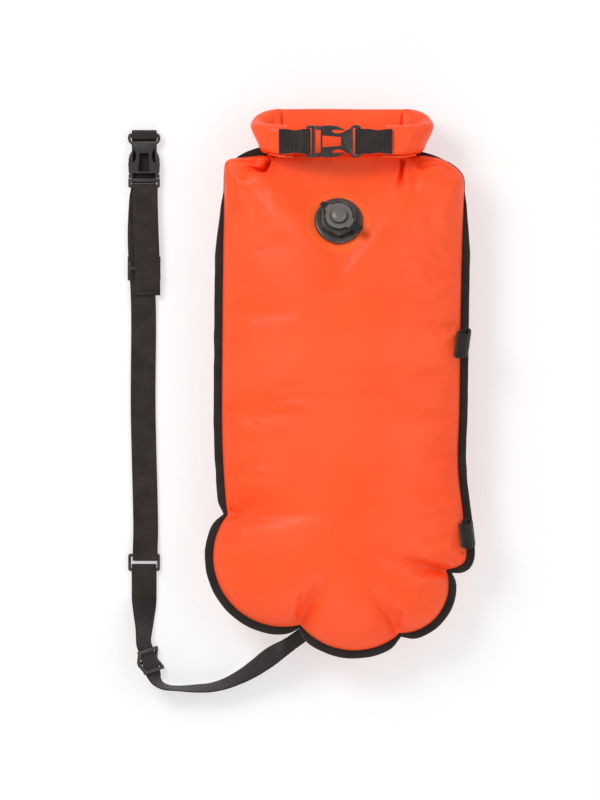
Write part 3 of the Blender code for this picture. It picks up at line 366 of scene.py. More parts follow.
def valve_disc(tree, reach_out=WELD_OUTSIDE, reach_in=WELD_INSIDE):
    """A factor that is 1 within a reach of the valve's axis and 0 outside it."""
    place = add(tree, "TexCoord").outputs["Object"]
    away = add(tree, "VectorMath", {0: place, 1: VALVE}, operation="SUBTRACT").outputs[0]
    square = add(tree, "VectorMath", {0: away, 1: VALVE_AXIS}, operation="CROSS_PRODUCT").outputs[0]
    reach = add(tree, "VectorMath", {0: square}, operation="LENGTH").outputs["Value"]
    return ramp(tree, reach, reach_out, reach_in)


def coated_fabric(name, base, deep, rough=0.42, disc=False):
    """Coated fabric: a fine weave pressed into a satin film, with faint clouding."""
    material, tree, shader = nodes_of(name)
    where = add(tree, "TexCoord").outputs["Object"]
    cloud = speckle(tree, where, 14.0, 3.0)
    grain = speckle(tree, where, 420.0, 2.0)
    threads = [bands(tree, where, way, 380.0, 0.4) for way in "XY"]
    height = maths(tree, "ADD", maths(tree, "MULTIPLY", *threads), grain)
    bump = add(tree, "Bump", {"Strength": 0.1, "Distance": 0.0002, "Height": height})
    colour = mixed(tree, ramp(tree, cloud, 0.35, 0.7), base, deep)
    if disc:
        factor = valve_disc(tree)
        colour = mixed(tree, maths(tree, "MULTIPLY", factor, 0.45), colour, DISC_ORANGE)
        step = add(tree, "Bump", {"Strength": 0.6, "Distance": 0.0006, "Height": factor})
        fill(tree, bump, {"Normal": step.outputs["Normal"]})
    fill(tree, shader, {
        "Base Color": colour, "Normal": bump.outputs["Normal"], "Specular IOR Level": 0.25,
        "Roughness": ramp(tree, cloud, 0.0, 1.0, rough - 0.05, rough + 0.08),
    })
    return material


def webbing_material(name, base, light):
    """Woven tape: ribs across it, the woven cords along it, and lighter worn threads."""
    material, tree, shader = nodes_of(name)
    where = add(tree, "UVMap", uv_map="weave").outputs["UV"]
    ribs = bands(tree, where, "Y", 130.0, 0.8, 1.0)
    cords = bands(tree, where, "X", 150.0, 0.3)
    fuzz = speckle(tree, where, 700.0, 3.0)
    patch = speckle(tree, where, 60.0, 2.0)
    weave = maths(tree, "MULTIPLY_ADD", cords, 0.35, ribs)
    total = maths(tree, "MULTIPLY_ADD", fuzz, 0.5, weave)
    worn = maths(tree, "MULTIPLY", ramp(tree, total, 0.35, 1.45), ramp(tree, patch, 0.2, 0.8))
    bump = add(tree, "Bump", {"Strength": 0.8, "Distance": 0.0005, "Height": total})
    fill(tree, shader, {
        "Base Color": mixed(tree, worn, base, light), "Normal": bump.outputs["Normal"], "Roughness": 0.85,
        "Specular IOR Level": 0.25, "Sheen Weight": 0.25, "Sheen Roughness": 0.5,
    })
    return material


def moulded(name, base, worn, rough, shade_reach=0.0, tips=False):
    """Moulded plastic or rubber: fine texture, paler rubbed edges, painted shade in crevices within a given
    reach, and dark tips.
    """
    material, tree, shader = nodes_of(name)
    where = add(tree, "TexCoord").outputs["Object"]
    spark = speckle(tree, where, 900.0, 2.0)
    smear = speckle(tree, where, 90.0, 3.0)
    edge = add(tree, "NewGeometry").outputs["Pointiness"]
    rubbed = maths(tree, "MULTIPLY", ramp(tree, edge, 0.505, 0.6), ramp(tree, smear, 0.25, 0.7))
    colour = mixed(tree, rubbed, base, worn)
    # Painted shade: places that ambient occlusion finds hemmed in within the reach are mixed towards black
    if shade_reach:
        close = add(tree, "AmbientOcclusion", {"Distance": shade_reach}).outputs["AO"]
        open_share = ramp(tree, close, 0.45, 0.95)
        if tips:
            open_share = maths(tree, "MULTIPLY", open_share, valve_disc(tree, TIPS_OUTSIDE, TIPS_INSIDE))
        colour = mixed(tree, open_share, SHADE_AND_TIP_BLACK, colour)
    bump = add(tree, "Bump", {"Strength": 0.35, "Distance": 0.00006, "Height": spark})
    fill(tree, shader, {
        "Base Color": colour, "Normal": bump.outputs["Normal"],
        "Roughness": ramp(tree, smear, 0.0, 1.0, rough + 0.06, rough - 0.06),
    })
    return material


FABRIC_ORANGE = ((1.0, 0.1, 0.024, 1), (1.0, 0.08, 0.012, 1))
ORANGE = coated_fabric("orange_coated_fabric", *FABRIC_ORANGE)
ORANGE_FRONT = coated_fabric("orange_coated_fabric_front", *FABRIC_ORANGE, disc=True)
ROLL_ORANGE = coated_fabric("orange_coated_fabric_roll", (1.0, 0.098, 0.024, 1), (1.0, 0.078, 0.012, 1), 0.38)
BLACK_WEBBING = webbing_material("black_webbing", (0.013, 0.009, 0.008, 1), (0.058, 0.044, 0.038, 1))
EDGE_TAPE = webbing_material("edge_tape", (0.008, 0.006, 0.005, 1), (0.036, 0.028, 0.025, 1))
STITCH = webbing_material("stitching", (0.006, 0.005, 0.005, 1), (0.02, 0.016, 0.015, 1))
BUCKLE_PLASTIC = moulded("buckle_plastic", (0.013, 0.011, 0.01, 1), (0.07, 0.066, 0.06, 1), 0.36)
# The valve mouldings' last number is the reach of their painted crevice shade
VALVE_PLASTIC = moulded("valve_plastic", (0.03, 0.026, 0.024, 1), (0.18, 0.165, 0.155, 1), 0.22, 0.003)
VALVE_CAP = moulded("valve_cap_plastic", (0.12, 0.107, 0.098, 1), (0.2, 0.185, 0.17, 1), 0.3, 0.003)
VALVE_SOFT = moulded("valve_soft", (0.12, 0.107, 0.098, 1), (0.18, 0.165, 0.155, 1), 0.34, 0.003, tips=True)
CLEAR_WHITE = moulded("stiffener_plastic", (0.78, 0.78, 0.76, 1), (0.85, 0.85, 0.84, 1), 0.5)


# Camera, light and floor

def make_stage():
    scene = bpy.context.scene
    camera = in_scene("camera", bpy.data.cameras.new("camera"))
    distance = VIEW_HEIGHT * LENS / SENSOR
    camera.location = (-0.042, -0.01, distance + SEAM_HEIGHT)
    set_all(camera.data, lens=LENS, sensor_width=SENSOR, clip_end=4 * distance)
    scene.camera = camera
    scene.view_settings.view_transform = "Standard"
    corners = [(-4, -4, 0), (4, -4, 0), (4, 4, 0), (-4, 4, 0)]
    floor = in_scene("floor", plain_mesh("floor", corners, [(0, 1, 2, 3)]))
    floor.location.z = FLOOR_LEVEL
    material, tree, shader = nodes_of("floor")
    fill(tree, shader, {"Base Color": (0.95, 0.95, 0.95, 1), "Roughness": 0.9})
    rays = add(tree, "LightPath").outputs
    seen = maths(tree, "ADD", rays["Is Camera Ray"], rays["Is Glossy Ray"])
    also = maths(tree, "ADD", seen, rays["Is Transmission Ray"], use_clamp=True)
    white = add(tree, "Emission").outputs[0]
    both = add(tree, "MixShader", {0: maths(tree, "MULTIPLY", also, 0.5), 1: shader.outputs[0], 2: white})
    fill(tree, tree.nodes["Material Output"], {"Surface": both.outputs[0]})
    floor.data.materials.append(material)
    world = bpy.data.worlds.new("world")
    scene.world = world
    world.use_nodes = True
    background = world.node_tree.nodes["Background"]
    fill(world.node_tree, background, {"Color": (1, 1, 1, 1), "Strength": WORLD_STRENGTH})
    for name, place, size, power in LAMPS:
        light = in_scene(name, bpy.data.lights.new(name, "AREA"))
        set_all(light.data, size=size, energy=power)
        light.location = place
        light.rotation_euler = (-Vector(place)).to_track_quat("-Z", "Y").to_euler()


# Webbing

def strap(name, spots, widths, faces, width=WEBBING, thick=WEBBING_THICK, material=BLACK_WEBBING):
    """A woven strap with rounded selvedges along a line of places, each with its width and face direction."""
    section = STRAP_EDGE + [(-a, -b) for a, b in STRAP_EDGE]
    rows = [
        [spot + wide * (a * width) + face * (b * thick) for a, b in section]
        for spot, wide, face in zip(spots, widths, faces)
    ]
    across = [a * width for a, _ in section] + [section[0][0] * width]
    mesh = grid_mesh(name, rows, closed_across=True, uvs=(lengths_of(spots), across), caps=True)
    return new_object(name, mesh, "bag", material)


def flat_strap(name, path, place, sideways, shift=None, narrow=None, **sizes):
    """A strap that stays square to a plane; place turns (along, up) into a point, sideways is its width."""
    flat = evened([Vector(p) for p in path], 0.0012)
    spots, faces = [], []
    for i, point in enumerate(flat):
        ahead = ahead_at(flat, i).normalized()
        spots.append(place(point.x, point.y) + sideways * (shift(point.x) if shift else 0.0))
        faces.append(place(-ahead.y, ahead.x) - place(0.0, 0.0))
    widths = [sideways * (narrow(point.x) if narrow else 1.0) for point in flat]
    return strap(name, spots, widths, faces, **sizes)


def stitches(name, middle, sideways):
    """A row of short threads across a level strap, sunk into its upper face."""
    reach = sideways * (WEBBING / 2 - STITCH_INSET)
    start, end = middle - reach, middle + reach
    line = end - start
    count = max(2, int(line.length / STITCH_PITCH))
    half = STITCH_SIZE / 2
    along = line.normalized()
    side = along.cross(UP).normalized()
    shape = bmesh.new()
    shape.loops.layers.uv.new("weave")
    for i in range(count):
        thread = start + line * ((i + 0.5) / count)
        rings = []
        for k in range(5):
            t = (k - 2) / 2
            height = STITCH_SIZE * 0.35 * (1 - t * t)
            spot = thread + along * (t * STITCH_PITCH * 0.4) + UP * height
            rings.append([
                shape.verts.new(spot + side * (math.cos(a) * half) + UP * (math.sin(a) * half))
                for a in STITCH_TURNS
            ])
        for low, high in zip(rings, rings[1:]):
            for j in range(5):
                shape.faces.new((low[j], low[(j + 1) % 5], high[(j + 1) % 5], high[j]))
        shape.faces.new(rings[0])
        shape.faces.new(rings[-1])
    return new_object(name, smooth_mesh(name, shape), "bag", STITCH)


def around_bar(edge, bar_half, way, level):
    """A strap's mid line round a bar's far edge, from above it to below it; way is its side, 1 or -1."""
    found = []
    for side in (1, -1):
        for i in range(BAR_STEPS + 1):
            turn = (side + 1) / 2 * math.pi / 2 - math.pi / 2 * i / BAR_STEPS
            out = edge + way * REACH * math.cos(turn)
            found.append((out, level + side * bar_half + REACH * math.sin(turn)))
    return found


def leash_frames(steps):
    """Place, way along, width direction and face direction at each step of the leash."""
    raw = []
    for x, y, clear, lean in LEASH_ROUTE:
        turn = math.radians(abs(lean))
        raw.append((x, y, clear + WEBBING / 2 * math.sin(turn) + WEBBING_THICK / 2 * math.cos(turn), lean))
    spots = smooth([p[:3] for p in raw], steps)
    leans = smooth([(p[3], 0.0) for p in raw], steps)
    frames = []
    for i, spot in enumerate(spots):
        ahead = ahead_at(spots, i)
        if i in (0, len(spots) - 1):
            ahead.z = 0.0
        ahead.normalize()
        level = UP.cross(ahead).normalized()
        turn = math.radians(leans[i].x)
        width = level * math.cos(turn) + ahead.cross(level) * math.sin(turn)
        frames.append((spot, ahead, width, ahead.cross(width)))
    return frames


def make_leash():
    frames = leash_frames(12)
    frames.insert(0, (frames[0][0] - frames[0][1] * 0.001, *frames[0][1:]))
    spots = [f[0] for f in frames]
    left = [sum((b - a).length for a, b in zip(spots[i:], spots[i + 1:])) for i in range(len(spots))]
    widths = [f[2] * (0.6 + 0.4 * blend(left[i] / LEASH_NARROWING)) for i, f in enumerate(frames)]
    leash = strap("leash", spots, widths, [f[3] for f in frames], material=EDGE_TAPE)
    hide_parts("leash_strap")
    spot, ahead, width, face = frames[-1]
    flat = Vector((ahead.x, ahead.y, 0.0)).normalized()
    tab_spots = [spot + flat * (0.0018 * k - 0.0015) + Vector((0, 0, 0.0002 * k)) for k in range(12)]
    tab = strap(
        "leash_anchor_look", tab_spots, [width * 0.58] * 12, [face] * 12, thick=0.0011, material=EDGE_TAPE,
    )
    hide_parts("leash_anchor_tab")
    path = [tuple(f[0]) for f in leash_frames(3)]
    slider = detailed_copy("leash_slider", "slider")


BOW_LINE = smooth([
    (-0.3, 0.001), (-0.173, 0.001), (-0.13, 0.0015), (-0.02, -0.001), (0.06, -0.0005), (0.1, -0.0012),
    (0.15, -0.004), (0.19, -0.0026), (0.215, 0.0), (0.3, 0.0),
], 6)


def belt_place(along, up):
    return Vector((BELT_X, along, up))


def belt_bow(y):
    """How far the belt bows to the side on its way up the floor."""
    for a, b in zip(BOW_LINE, BOW_LINE[1:]):
        if a.x <= y <= b.x:
            return a.y + (b.y - a.y) * (y - a.x) / (b.x - a.x)
    return 0.0


def end_loop_lean(y):
    return 0.0012 + 0.0026 * blend((0.2 - y) / 0.1) if y < 0.203 else 0.0012 * blend((0.206 - y) / 0.003)


def make_belt():
    ring_bar = BELT_RING_Y + RING_HALF
    ring_wrap = around_bar(ring_bar - 0.0058, RING_BAR_HALF, -1, BELT_RING_Z)
    socket_wrap = around_bar(BELT_BUCKLE_Y + SOCKET_BAR_Y, SOCKET_BAR_HALF, -1, BELT_BUCKLE_Z)
    wrap_top = socket_wrap[0][1]
    top = BELT_BUCKLE_Y + 0.04 + 2 * REACH
    first = WEBBING_THICK / 2
    second = first + LAYER
    strand = [(0.1677, ADJUSTER.z), (0.098, ADJUSTER.z), (0.074, second), (ring_bar + 0.024, second)]
    strand += [(ring_bar, ring_wrap[0][1])] + ring_wrap
    strand += [(BELT_BUCKLE_Y, first), (top - REACH, first), (top + REACH * 0.6, first + REACH * 0.6)]
    strand += [(top + REACH, first + 2 * REACH), (top + REACH, wrap_top - 2 * REACH)]
    strand += [(top + REACH * 0.6, wrap_top - REACH * 0.6), (top - REACH, wrap_top)] + socket_wrap
    strand += [(top - 4 * REACH, socket_wrap[-1][1])]
    belt = flat_strap("belt_webbing", strand, belt_place, RIGHT, shift=belt_bow)
    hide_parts("belt_strap")
    plug_edge = BELT_BUCKLE_Y - PLUG_BAR_Y
    plug_wrap = around_bar(plug_edge, PLUG_BAR_HALF, 1, BELT_BUCKLE_Z)
    over = ADJUSTER.z + 0.00205 + 0.0011 + REACH
    hem = ADJUSTER.z + LAYER
    loop = [(0.095, hem), (0.102, hem), (0.11, over), (0.168, over), (plug_edge - 0.014, plug_wrap[0][1])]
    loop += plug_wrap
    loop += [(plug_edge - 0.007, plug_wrap[-1][1]), (0.182, plug_wrap[-1][1]), (0.168, ADJUSTER.z)]
    end_loop = flat_strap("belt_end_webbing", loop, belt_place, RIGHT, shift=end_loop_lean)
    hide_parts("belt_end_loop")
    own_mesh(end_loop)
    face = WEBBING_THICK / 2
    stitches("belt_hem_stitch", Vector((BELT_X + end_loop_lean(0.1), 0.0995, hem + face)), RIGHT)
    stitches("belt_ring_stitch", Vector((BELT_X, ring_bar + 0.011, second + face)), RIGHT)
    edge = BELT_RING_Y - RING_HALF + 0.003
    wrap = around_bar(edge + 0.0028, RING_BAR_HALF, 1, BELT_RING_Z)
    low = edge - 0.003
    path = [(-0.2064, second), (low - 0.007, second), (low, wrap[0][1])] + wrap + [(low - 0.024, first)]
    end = flat_strap("leash_end_webbing", path, belt_place, RIGHT)
    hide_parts("leash_end_loop")
    stitches("leash_end_stitch", Vector((BELT_X, -0.2, second + face)), RIGHT)


def roll_place(along, up):
    return Vector((along, ROLL_BUCKLE.y, up))


def drawn_in(fold):
    """How the webbing's width narrows at a fold."""
    return lambda x: 1.0 - 0.1 * math.exp(-((x - fold) / 0.006) ** 2)


def make_roll_webbing():
    """The tabs sewn to the roll's two ends and folded round the buckle's bars."""
    low = ROLL_BUCKLE.z - PLUG_BAR_HALF - REACH
    tab = low + LAYER
    for side, way, hem, edge, bar_half, bar, folds in ROLL_TABS:
        wrap = around_bar(ROLL_BUCKLE.x + edge, bar_half, way, ROLL_BUCKLE.z)
        bar_x = ROLL_BUCKLE.x + bar
        over = [(hem, tab)] + [(hem + way * out, tab + up) for out, up in folds]
        over.append((bar_x - way * 0.0035, wrap[0][1]))
        under = [(hem + way * 0.007, low)]
        if side == "right":
            under.insert(0, (bar_x + 0.007, low))
        narrow = drawn_in(hem + way * folds[3][0])
        route = over + wrap + under
        webbing = flat_strap(f"roll_webbing_{side}_look", route, roll_place, AHEAD, narrow=narrow)
        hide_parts(f"roll_webbing_{side}")
        pieces = [webbing]
        for x in (hem + way * 0.004, hem + way * 0.008):
            spot = Vector((x, ROLL_BUCKLE.y, low + LAYER + WEBBING_THICK / 2))
            pieces.append(stitches(f"roll_{side}_stitch_{round(abs(x) * 10000)}", spot, AHEAD))
        if side == "left":
            for piece in pieces:
                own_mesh(piece)


# Bag

def from_share(share):
    x, y = share
    return Vector((x * BAG_HALF_WIDTH, y * (BAG_UP if y > 0 else BAG_DOWN)))


def lobe(start, end, bulge_share):
    chord = end - start
    middle = (start + end) / 2
    out = Vector((chord.y, -chord.x)).normalized()
    bulge = bulge_share * chord.length
    radius = (chord.length ** 2 / 4 + bulge ** 2) / (2 * bulge)
    centre = middle + out * (bulge - radius)
    half_turn = math.atan2(chord.length / 2, radius - bulge)
    found = []
    for i in range(49):
        turn = half_turn * (2 * i / 48 - 1)
        along = chord.normalized() * math.sin(turn) + out * math.cos(turn)
        found.append(centre + along * radius)
    return found


def weld_line(spacing):
    """The weld's points, anticlockwise from the neck's left end round the foot to its right end."""
    left = smooth([from_share(s) for s in LEFT_SIDE_SHARES], 12)
    right = smooth([from_share(s) for s in RIGHT_SIDE_SHARES], 12)
    corners = [from_share(s) for s in FOOT_NOTCH_SHARES]
    points = evened(left, spacing)[:-1]
    notches = []
    for i in range(3):
        notches.append(len(points))
        points += evened(lobe(corners[i], corners[i + 1], LOBE_BULGE_SHARES[i]), spacing)[:-1]
    notches.append(len(points))
    points += evened(right, spacing)
    return points, notches


def seam_height(x, y):
    along_share = blend(1 - (BAG_UP - y) / NECK_BLEND)
    across_share = blend((NECK_DIP_END - abs(x)) / (NECK_DIP_END - NECK_DIP_FLAT))
    return SEAM_HEIGHT + (RING_LOW - SEAM_HEIGHT) * along_share * across_share


def inside(points, xs, ys):
    """Which of a set of places lie inside the outline."""
    found = np.zeros(xs.shape, bool)
    for i in range(len(points)):
        a, b = points[i - 1], points[i]
        if a.y == b.y:
            continue
        cross = (ys > min(a.y, b.y)) & (ys <= max(a.y, b.y))
        found ^= cross & (xs < a.x + (ys - a.y) * (b.x - a.x) / (b.y - a.y))
    return found


def edge_distance(points, xs, ys):
    near = np.full(xs.shape, 9.0)
    for i in range(len(points)):
        a, b = points[i - 1], points[i]
        dx, dy = b.x - a.x, b.y - a.y
        t = np.clip(((xs - a.x) * dx + (ys - a.y) * dy) / max(dx * dx + dy * dy, 1e-12), 0, 1)
        near = np.minimum(near, np.hypot(xs - a.x - t * dx, ys - a.y - t * dy))
    return near


# Where the shoulders' corners are sharper or blunter than their outline: a place and how far it moves out
CORNER_PUSHES = [
    ((-0.1145, 0.229), 0.006, 0.011), ((0.112, 0.224), -0.0125, 0.012),
    ((0.086, 0.2335), -0.008, 0.012), ((-0.093, 0.2335), -0.005, 0.01),
]


def spine_point(point):
    return Vector((0.0, min(max(point.y, -SPINE_DOWN), SPINE_UP)))


def flange_share(y):
    share = blend((SHOULDER_TOP - y) / SHOULDER_FADE)
    return NECK_FLANGE_SHARE + (1 - NECK_FLANGE_SHARE) * share


def swell_at(point, share):
    up_share = blend(1 - (BAG_UP - point.y) / SHOULDER_DEPTH)
    out_share = blend((abs(point.x) - SHOULDER_INSIDE) / SHOULDER_CORNER)
    near = min(share / SWELL_END_SHARE, 1)
    swell = SHOULDER_SWELL * up_share * out_share * 4 * near * (1 - near)
    for corner, push, wide in CORNER_PUSHES:
        close = math.exp(-((point - Vector(corner)).length / wide) ** 2)
        swell += push * close * min(near * 3, 1) * (1 - near)
    return swell


def level_at(point, share):
    """Height of the skins' middle at a share of the way from weld to spine."""
    return seam_height(point.x, point.y) * (1 - share) + SEAM_HEIGHT * share


class Form:
    """The inflated form of the bag over its weld: what the CAD skins have, at any place in the outline."""

    def __init__(self, points, notches):
        self.points = points
        self.ax = np.array([p.x for p in points])
        self.ay = np.array([p.y for p in points])
        self.ex = np.roll(self.ax, -1) - self.ax
        self.ey = np.roll(self.ay, -1) - self.ay
        self.marks = [points[n] for n in notches]

    def weld_point(self, spot):
        """The weld point on the line from the spine through a place, and how far the place is from it."""
        spine = spine_point(spot)
        way = spot - spine
        if way.length < 1e-7:
            way = Vector((1e-7, 0.0))
        across = way.x * self.ey - way.y * self.ex
        across = np.where(np.abs(across) < 1e-15, 1e-15, across)
        sx, sy = self.ax - spine.x, self.ay - spine.y
        along = (sx * self.ey - sy * self.ex) / across
        share = (sx * way.y - sy * way.x) / across
        hits = np.where((along > 0) & (share >= -1e-6) & (share <= 1 + 1e-6), along, np.inf)
        reach = float(hits.min())
        return spine + way * reach, min(max(1 - 1 / reach, 0.0), 1.0)

    def level(self, spot):
        return level_at(*self.weld_point(spot))

    def place(self, spot, sign):
        """A skin's outer face over a place of the plan, moved out where a shoulder swells."""
        point, share = self.weld_point(spot)
        spine = spine_point(point)
        out = (point - spine).normalized()
        moved = spot.copy()
        if sign > 0:
            moved += out * swell_at(point, share)
            moved.y = min(moved.y, NECK_RIM)
        mark = min(self.marks, key=lambda m: (point - m).length)
        at_side = point.y > mark.y and mark in (self.marks[0], self.marks[-1])
        wide = SIDE_PUCKER_WIDTH if at_side else PUCKER_WIDTH
        near = (point - mark).length
        fold = PUCKER_SHARE * math.exp(-(near / wide) ** 2) * math.exp(-(point - moved).length / FOLD_LENGTH)
        bulge = (1 - (1 - share) ** 2) ** 0.6
        rise = BULGE * bulge * (1 - fold * (1 - share))
        height = level_at(point, share) + sign * (STACK_HALF + rise)
        return Vector((moved.x, moved.y, max(height, 0.0))), share


# Folds pressed into the front near the roll, the notches and the right seam: from, to, half width, depth
FRONT_FOLDS = [
    ((-0.068, 0.234), (-0.09, 0.208), 0.003, 0.017),
    ((-0.086, 0.231), (-0.098, 0.206), 0.0036, 0.0036),
    ((0.0615, 0.234), (0.0585, 0.197), 0.0028, 0.012),
    ((0.068, 0.232), (0.1, 0.22), 0.003, 0.008),
    ((0.074, 0.216), (0.068, 0.192), 0.004, 0.0022),
    ((-0.02, 0.235), (-0.026, 0.205), 0.007, 0.0012),
    ((0.025, 0.235), (0.022, 0.21), 0.007, 0.0012),
    ((-0.113, -0.124), (-0.078, -0.108), 0.006, 0.0032),
    ((-0.113, -0.122), (-0.085, -0.135), 0.005, 0.0016),
    ((-0.043, -0.23), (-0.033, -0.206), 0.005, 0.003),
    ((0.054, -0.243), (0.048, -0.216), 0.006, 0.0024),
    ((0.103, -0.182), (0.074, -0.176), 0.0052, 0.0048),
    ((0.108, -0.167), (0.078, -0.154), 0.007, 0.0026),
    ((0.112, 0.062), (0.08, 0.054), 0.006, 0.0016),
    ((0.114, 0.02), (0.075, 0.01), 0.006, 0.0018),
    ((0.112, -0.025), (0.07, -0.04), 0.007, 0.002),
    ((0.112, -0.07), (0.082, -0.072), 0.006, 0.0016),
    ((0.113, -0.11), (0.078, -0.104), 0.006, 0.0018),
    ((0.113, 0.11), (0.084, 0.114), 0.006, 0.0014),
    ((-0.117, 0.08), (-0.092, 0.083), 0.005, 0.0012),
    ((-0.117, -0.02), (-0.09, -0.026), 0.005, 0.0012),
    ((-0.116, -0.085), (-0.088, -0.078), 0.0055, 0.0016),
]


# Shares of the way from weld to spine where the skins have extra rings of points
EDGE_RINGS = [0.006, 0.018, 0.038, 0.065, 0.1]

# The front skin's settling: steps, how far a point may move, and the valve's reach where it is held
CLOTH_STEPS = 24
CLOTH_CAP = 0.0012
VALVE_HOLD = 0.034


def fold_depth(x, y):
    total = 0.0
    for (ax, ay), (bx, by), half, depth in FRONT_FOLDS:
        dx, dy = bx - ax, by - ay
        length2 = dx * dx + dy * dy
        t = ((x - ax) * dx + (y - ay) * dy) / length2
        if t < -0.4 or t > 1.3:
            continue
        fade = blend((t + 0.4) / 0.4) if t < 0 else blend(1 - (t - 0.3) / 1.0)
        off = abs((x - ax) * dy - (y - ay) * dx) / math.sqrt(length2)
        wide = half * (0.55 + 0.9 * max(t, 0.0))
        ridge = 0.35 * math.exp(-((off - 2.0 * wide) / wide) ** 2)
        total += depth * fade * (math.exp(-(off / wide) ** 2) - ridge)
    return total


def fold_points(points):
    """Close rows of places along each fold, so that the cloth can bend sharply there."""
    found = []
    for start, end, half, _ in FRONT_FOLDS:
        start, end = Vector(start), Vector(end)
        along = end - start
        side = Vector((along.y, -along.x)).normalized()
        count = max(4, round(along.length * 1.5 / 0.0028))
        for i in range(count):
            share = -0.3 + 1.6 * i / (count - 1)
            for off in (-2.0, -1.25, -0.7, -0.3, 0.3, 0.7, 1.25, 2.0):
                found.append(start + along * share + side * (off * half * (0.55 + 0.9 * max(share, 0.0))))
    xs, ys = np.array([p.x for p in found]), np.array([p.y for p in found])
    rim = [p.lerp(spine_point(p), EDGE_RINGS[2]) for p in points]
    keep = inside(rim, xs, ys)
    return [p for p, good in zip(found, keep) if good]


def valve_circle(radius, count):
    side = VALVE_AXIS.orthogonal().normalized()
    up = VALVE_AXIS.cross(side)
    turns = [2 * math.pi * i / count for i in range(count)]
    return [VALVE + side * (radius * math.cos(a)) + up * (radius * math.sin(a)) for a in turns]


def valve_distance(spot):
    away = spot - VALVE
    return (away - VALVE_AXIS * away.dot(VALVE_AXIS)).length


def skin_points(points, spacing, with_hole):
    """Places inside the weld joined as triangles: rings by the weld, and evenly scattered ones inside."""
    edge = [Vector((p.x, p.y)) for p in points]
    inner = []
    for share in EDGE_RINGS:
        inner += [p.lerp(spine_point(p), share) for p in edge]
    if with_hole:
        for radius, count in ((VALVE_HOLE, 32), (VALVE_HOLE + 0.0035, 40)):
            inner += [Vector((p.x, p.y)) for p in valve_circle(radius, count)]
        inner += fold_points(points)
    rng = np.random.default_rng(7)
    xs, ys = [], []
    y, row = -0.29, 0
    while y < 0.24:
        x = -0.14 + (spacing / 2 if row % 2 else 0.0)
        while x < 0.14:
            xs.append(x)
            ys.append(y)
            x += spacing
        y += spacing * 0.866
        row += 1
    xs = np.array(xs) + rng.uniform(-0.12, 0.12, len(xs)) * spacing
    ys = np.array(ys) + rng.uniform(-0.12, 0.12, len(ys)) * spacing
    keep = inside(points, xs, ys)
    xs, ys = xs[keep], ys[keep]
    rim = [p.lerp(spine_point(p), EDGE_RINGS[-1]) for p in points]
    far = (edge_distance(rim, xs, ys) > spacing * 0.7) & inside(rim, xs, ys)
    for x, y in zip(xs[far], ys[far]):
        if not with_hole or valve_distance(Vector((x, y, VALVE.z))) > VALVE_HOLE + 0.0055:
            inner.append(Vector((x, y)))
    count = len(edge)
    spots, _, faces, _, _, _ = delaunay_2d_cdt(edge + inner, [], [tuple(range(count))], 1, 1e-7)
    if with_hole:
        def solid(face):
            middle = sum((spots[i] for i in face), Vector((0.0, 0.0))) / len(face)
            return valve_distance(Vector((middle.x, middle.y, VALVE.z))) > VALVE_HOLE
        faces = [face for face in faces if solid(face)]
    return spots, faces, count


def averaged(values, edges, rounds):
    """Values at the vertices, each round mixed half with its neighbours' mean."""
    ends = np.concatenate((edges, edges[:, ::-1]))
    counts = np.maximum(np.bincount(ends[:, 0], minlength=len(values)), 1)[:, None]
    for _ in range(rounds):
        total = np.stack([
            np.bincount(ends[:, 0], weights=values[ends[:, 1], k], minlength=len(values)) for k in range(3)
        ], axis=1)
        values = (values + total / counts) / 2
    return values


def places_of(mesh):
    """A mesh's vertices as rows of three numbers."""
    flat = np.zeros(len(mesh.vertices) * 3)
    mesh.vertices.foreach_get("co", flat)
    return flat.reshape(-1, 3)


def swell_cloth(thing, weld_count, cap):
    """Let the skin settle as slack cloth under air pressure, held at its weld, and keep only its creases."""
    mesh = thing.data
    start = places_of(mesh)
    group = thing.vertex_groups.new(name="weld")
    group.add(list(range(weld_count)), 1.0, "REPLACE")
    free = np.ones(len(start))
    for i, spot in enumerate(start):
        near = valve_distance(Vector(spot))
        free[i] = blend((near - VALVE_HOLD) / 0.055) if spot[1] > 0.08 else 1.0
        rim = max(abs(spot[0]) / 0.115, abs(spot[1]) / 0.24)
        free[i] *= 0.35 + 0.65 * blend((rim - 0.55) / 0.35)
        if near < VALVE_HOLD:
            group.add([i], 1.0, "REPLACE")
    cloth = thing.modifiers.new("cloth", "CLOTH")
    set_all(
        cloth.settings, quality=6, vertex_group_mass="weld", shrink_min=-0.035, use_pressure=True,
        uniform_pressure_force=6.0, tension_stiffness=25, compression_stiffness=25, bending_stiffness=0.15,
    )
    cloth.settings.effector_weights.gravity = 0.0
    cloth.collision_settings.use_collision = False
    scene = bpy.context.scene
    for clock in (scene, cloth.point_cache):
        set_all(clock, frame_start=1, frame_end=CLOTH_STEPS)
    for step in range(1, CLOTH_STEPS + 1):
        scene.frame_set(step)
    settled = thing.evaluated_get(bpy.context.evaluated_depsgraph_get()).to_mesh()
    moved = places_of(settled) - start
    thing.modifiers.remove(cloth)
    thing.vertex_groups.remove(group)
    scene.frame_set(1)
    edges = np.zeros(len(mesh.edges) * 2, dtype=np.int32)
    mesh.edges.foreach_get("vertices", edges)
    moved -= averaged(moved, edges.reshape(-1, 2), 60)
    moved *= free[:, None]
    moved[:4 * weld_count] = 0.0
    moved[4 * weld_count:6 * weld_count] *= 0.5
    reach = np.linalg.norm(moved, axis=1, keepdims=True)
    moved *= np.minimum(1.0, cap / np.maximum(reach, 1e-9))
    mesh.vertices.foreach_set("co", (start + moved).ravel())
    mesh.update()


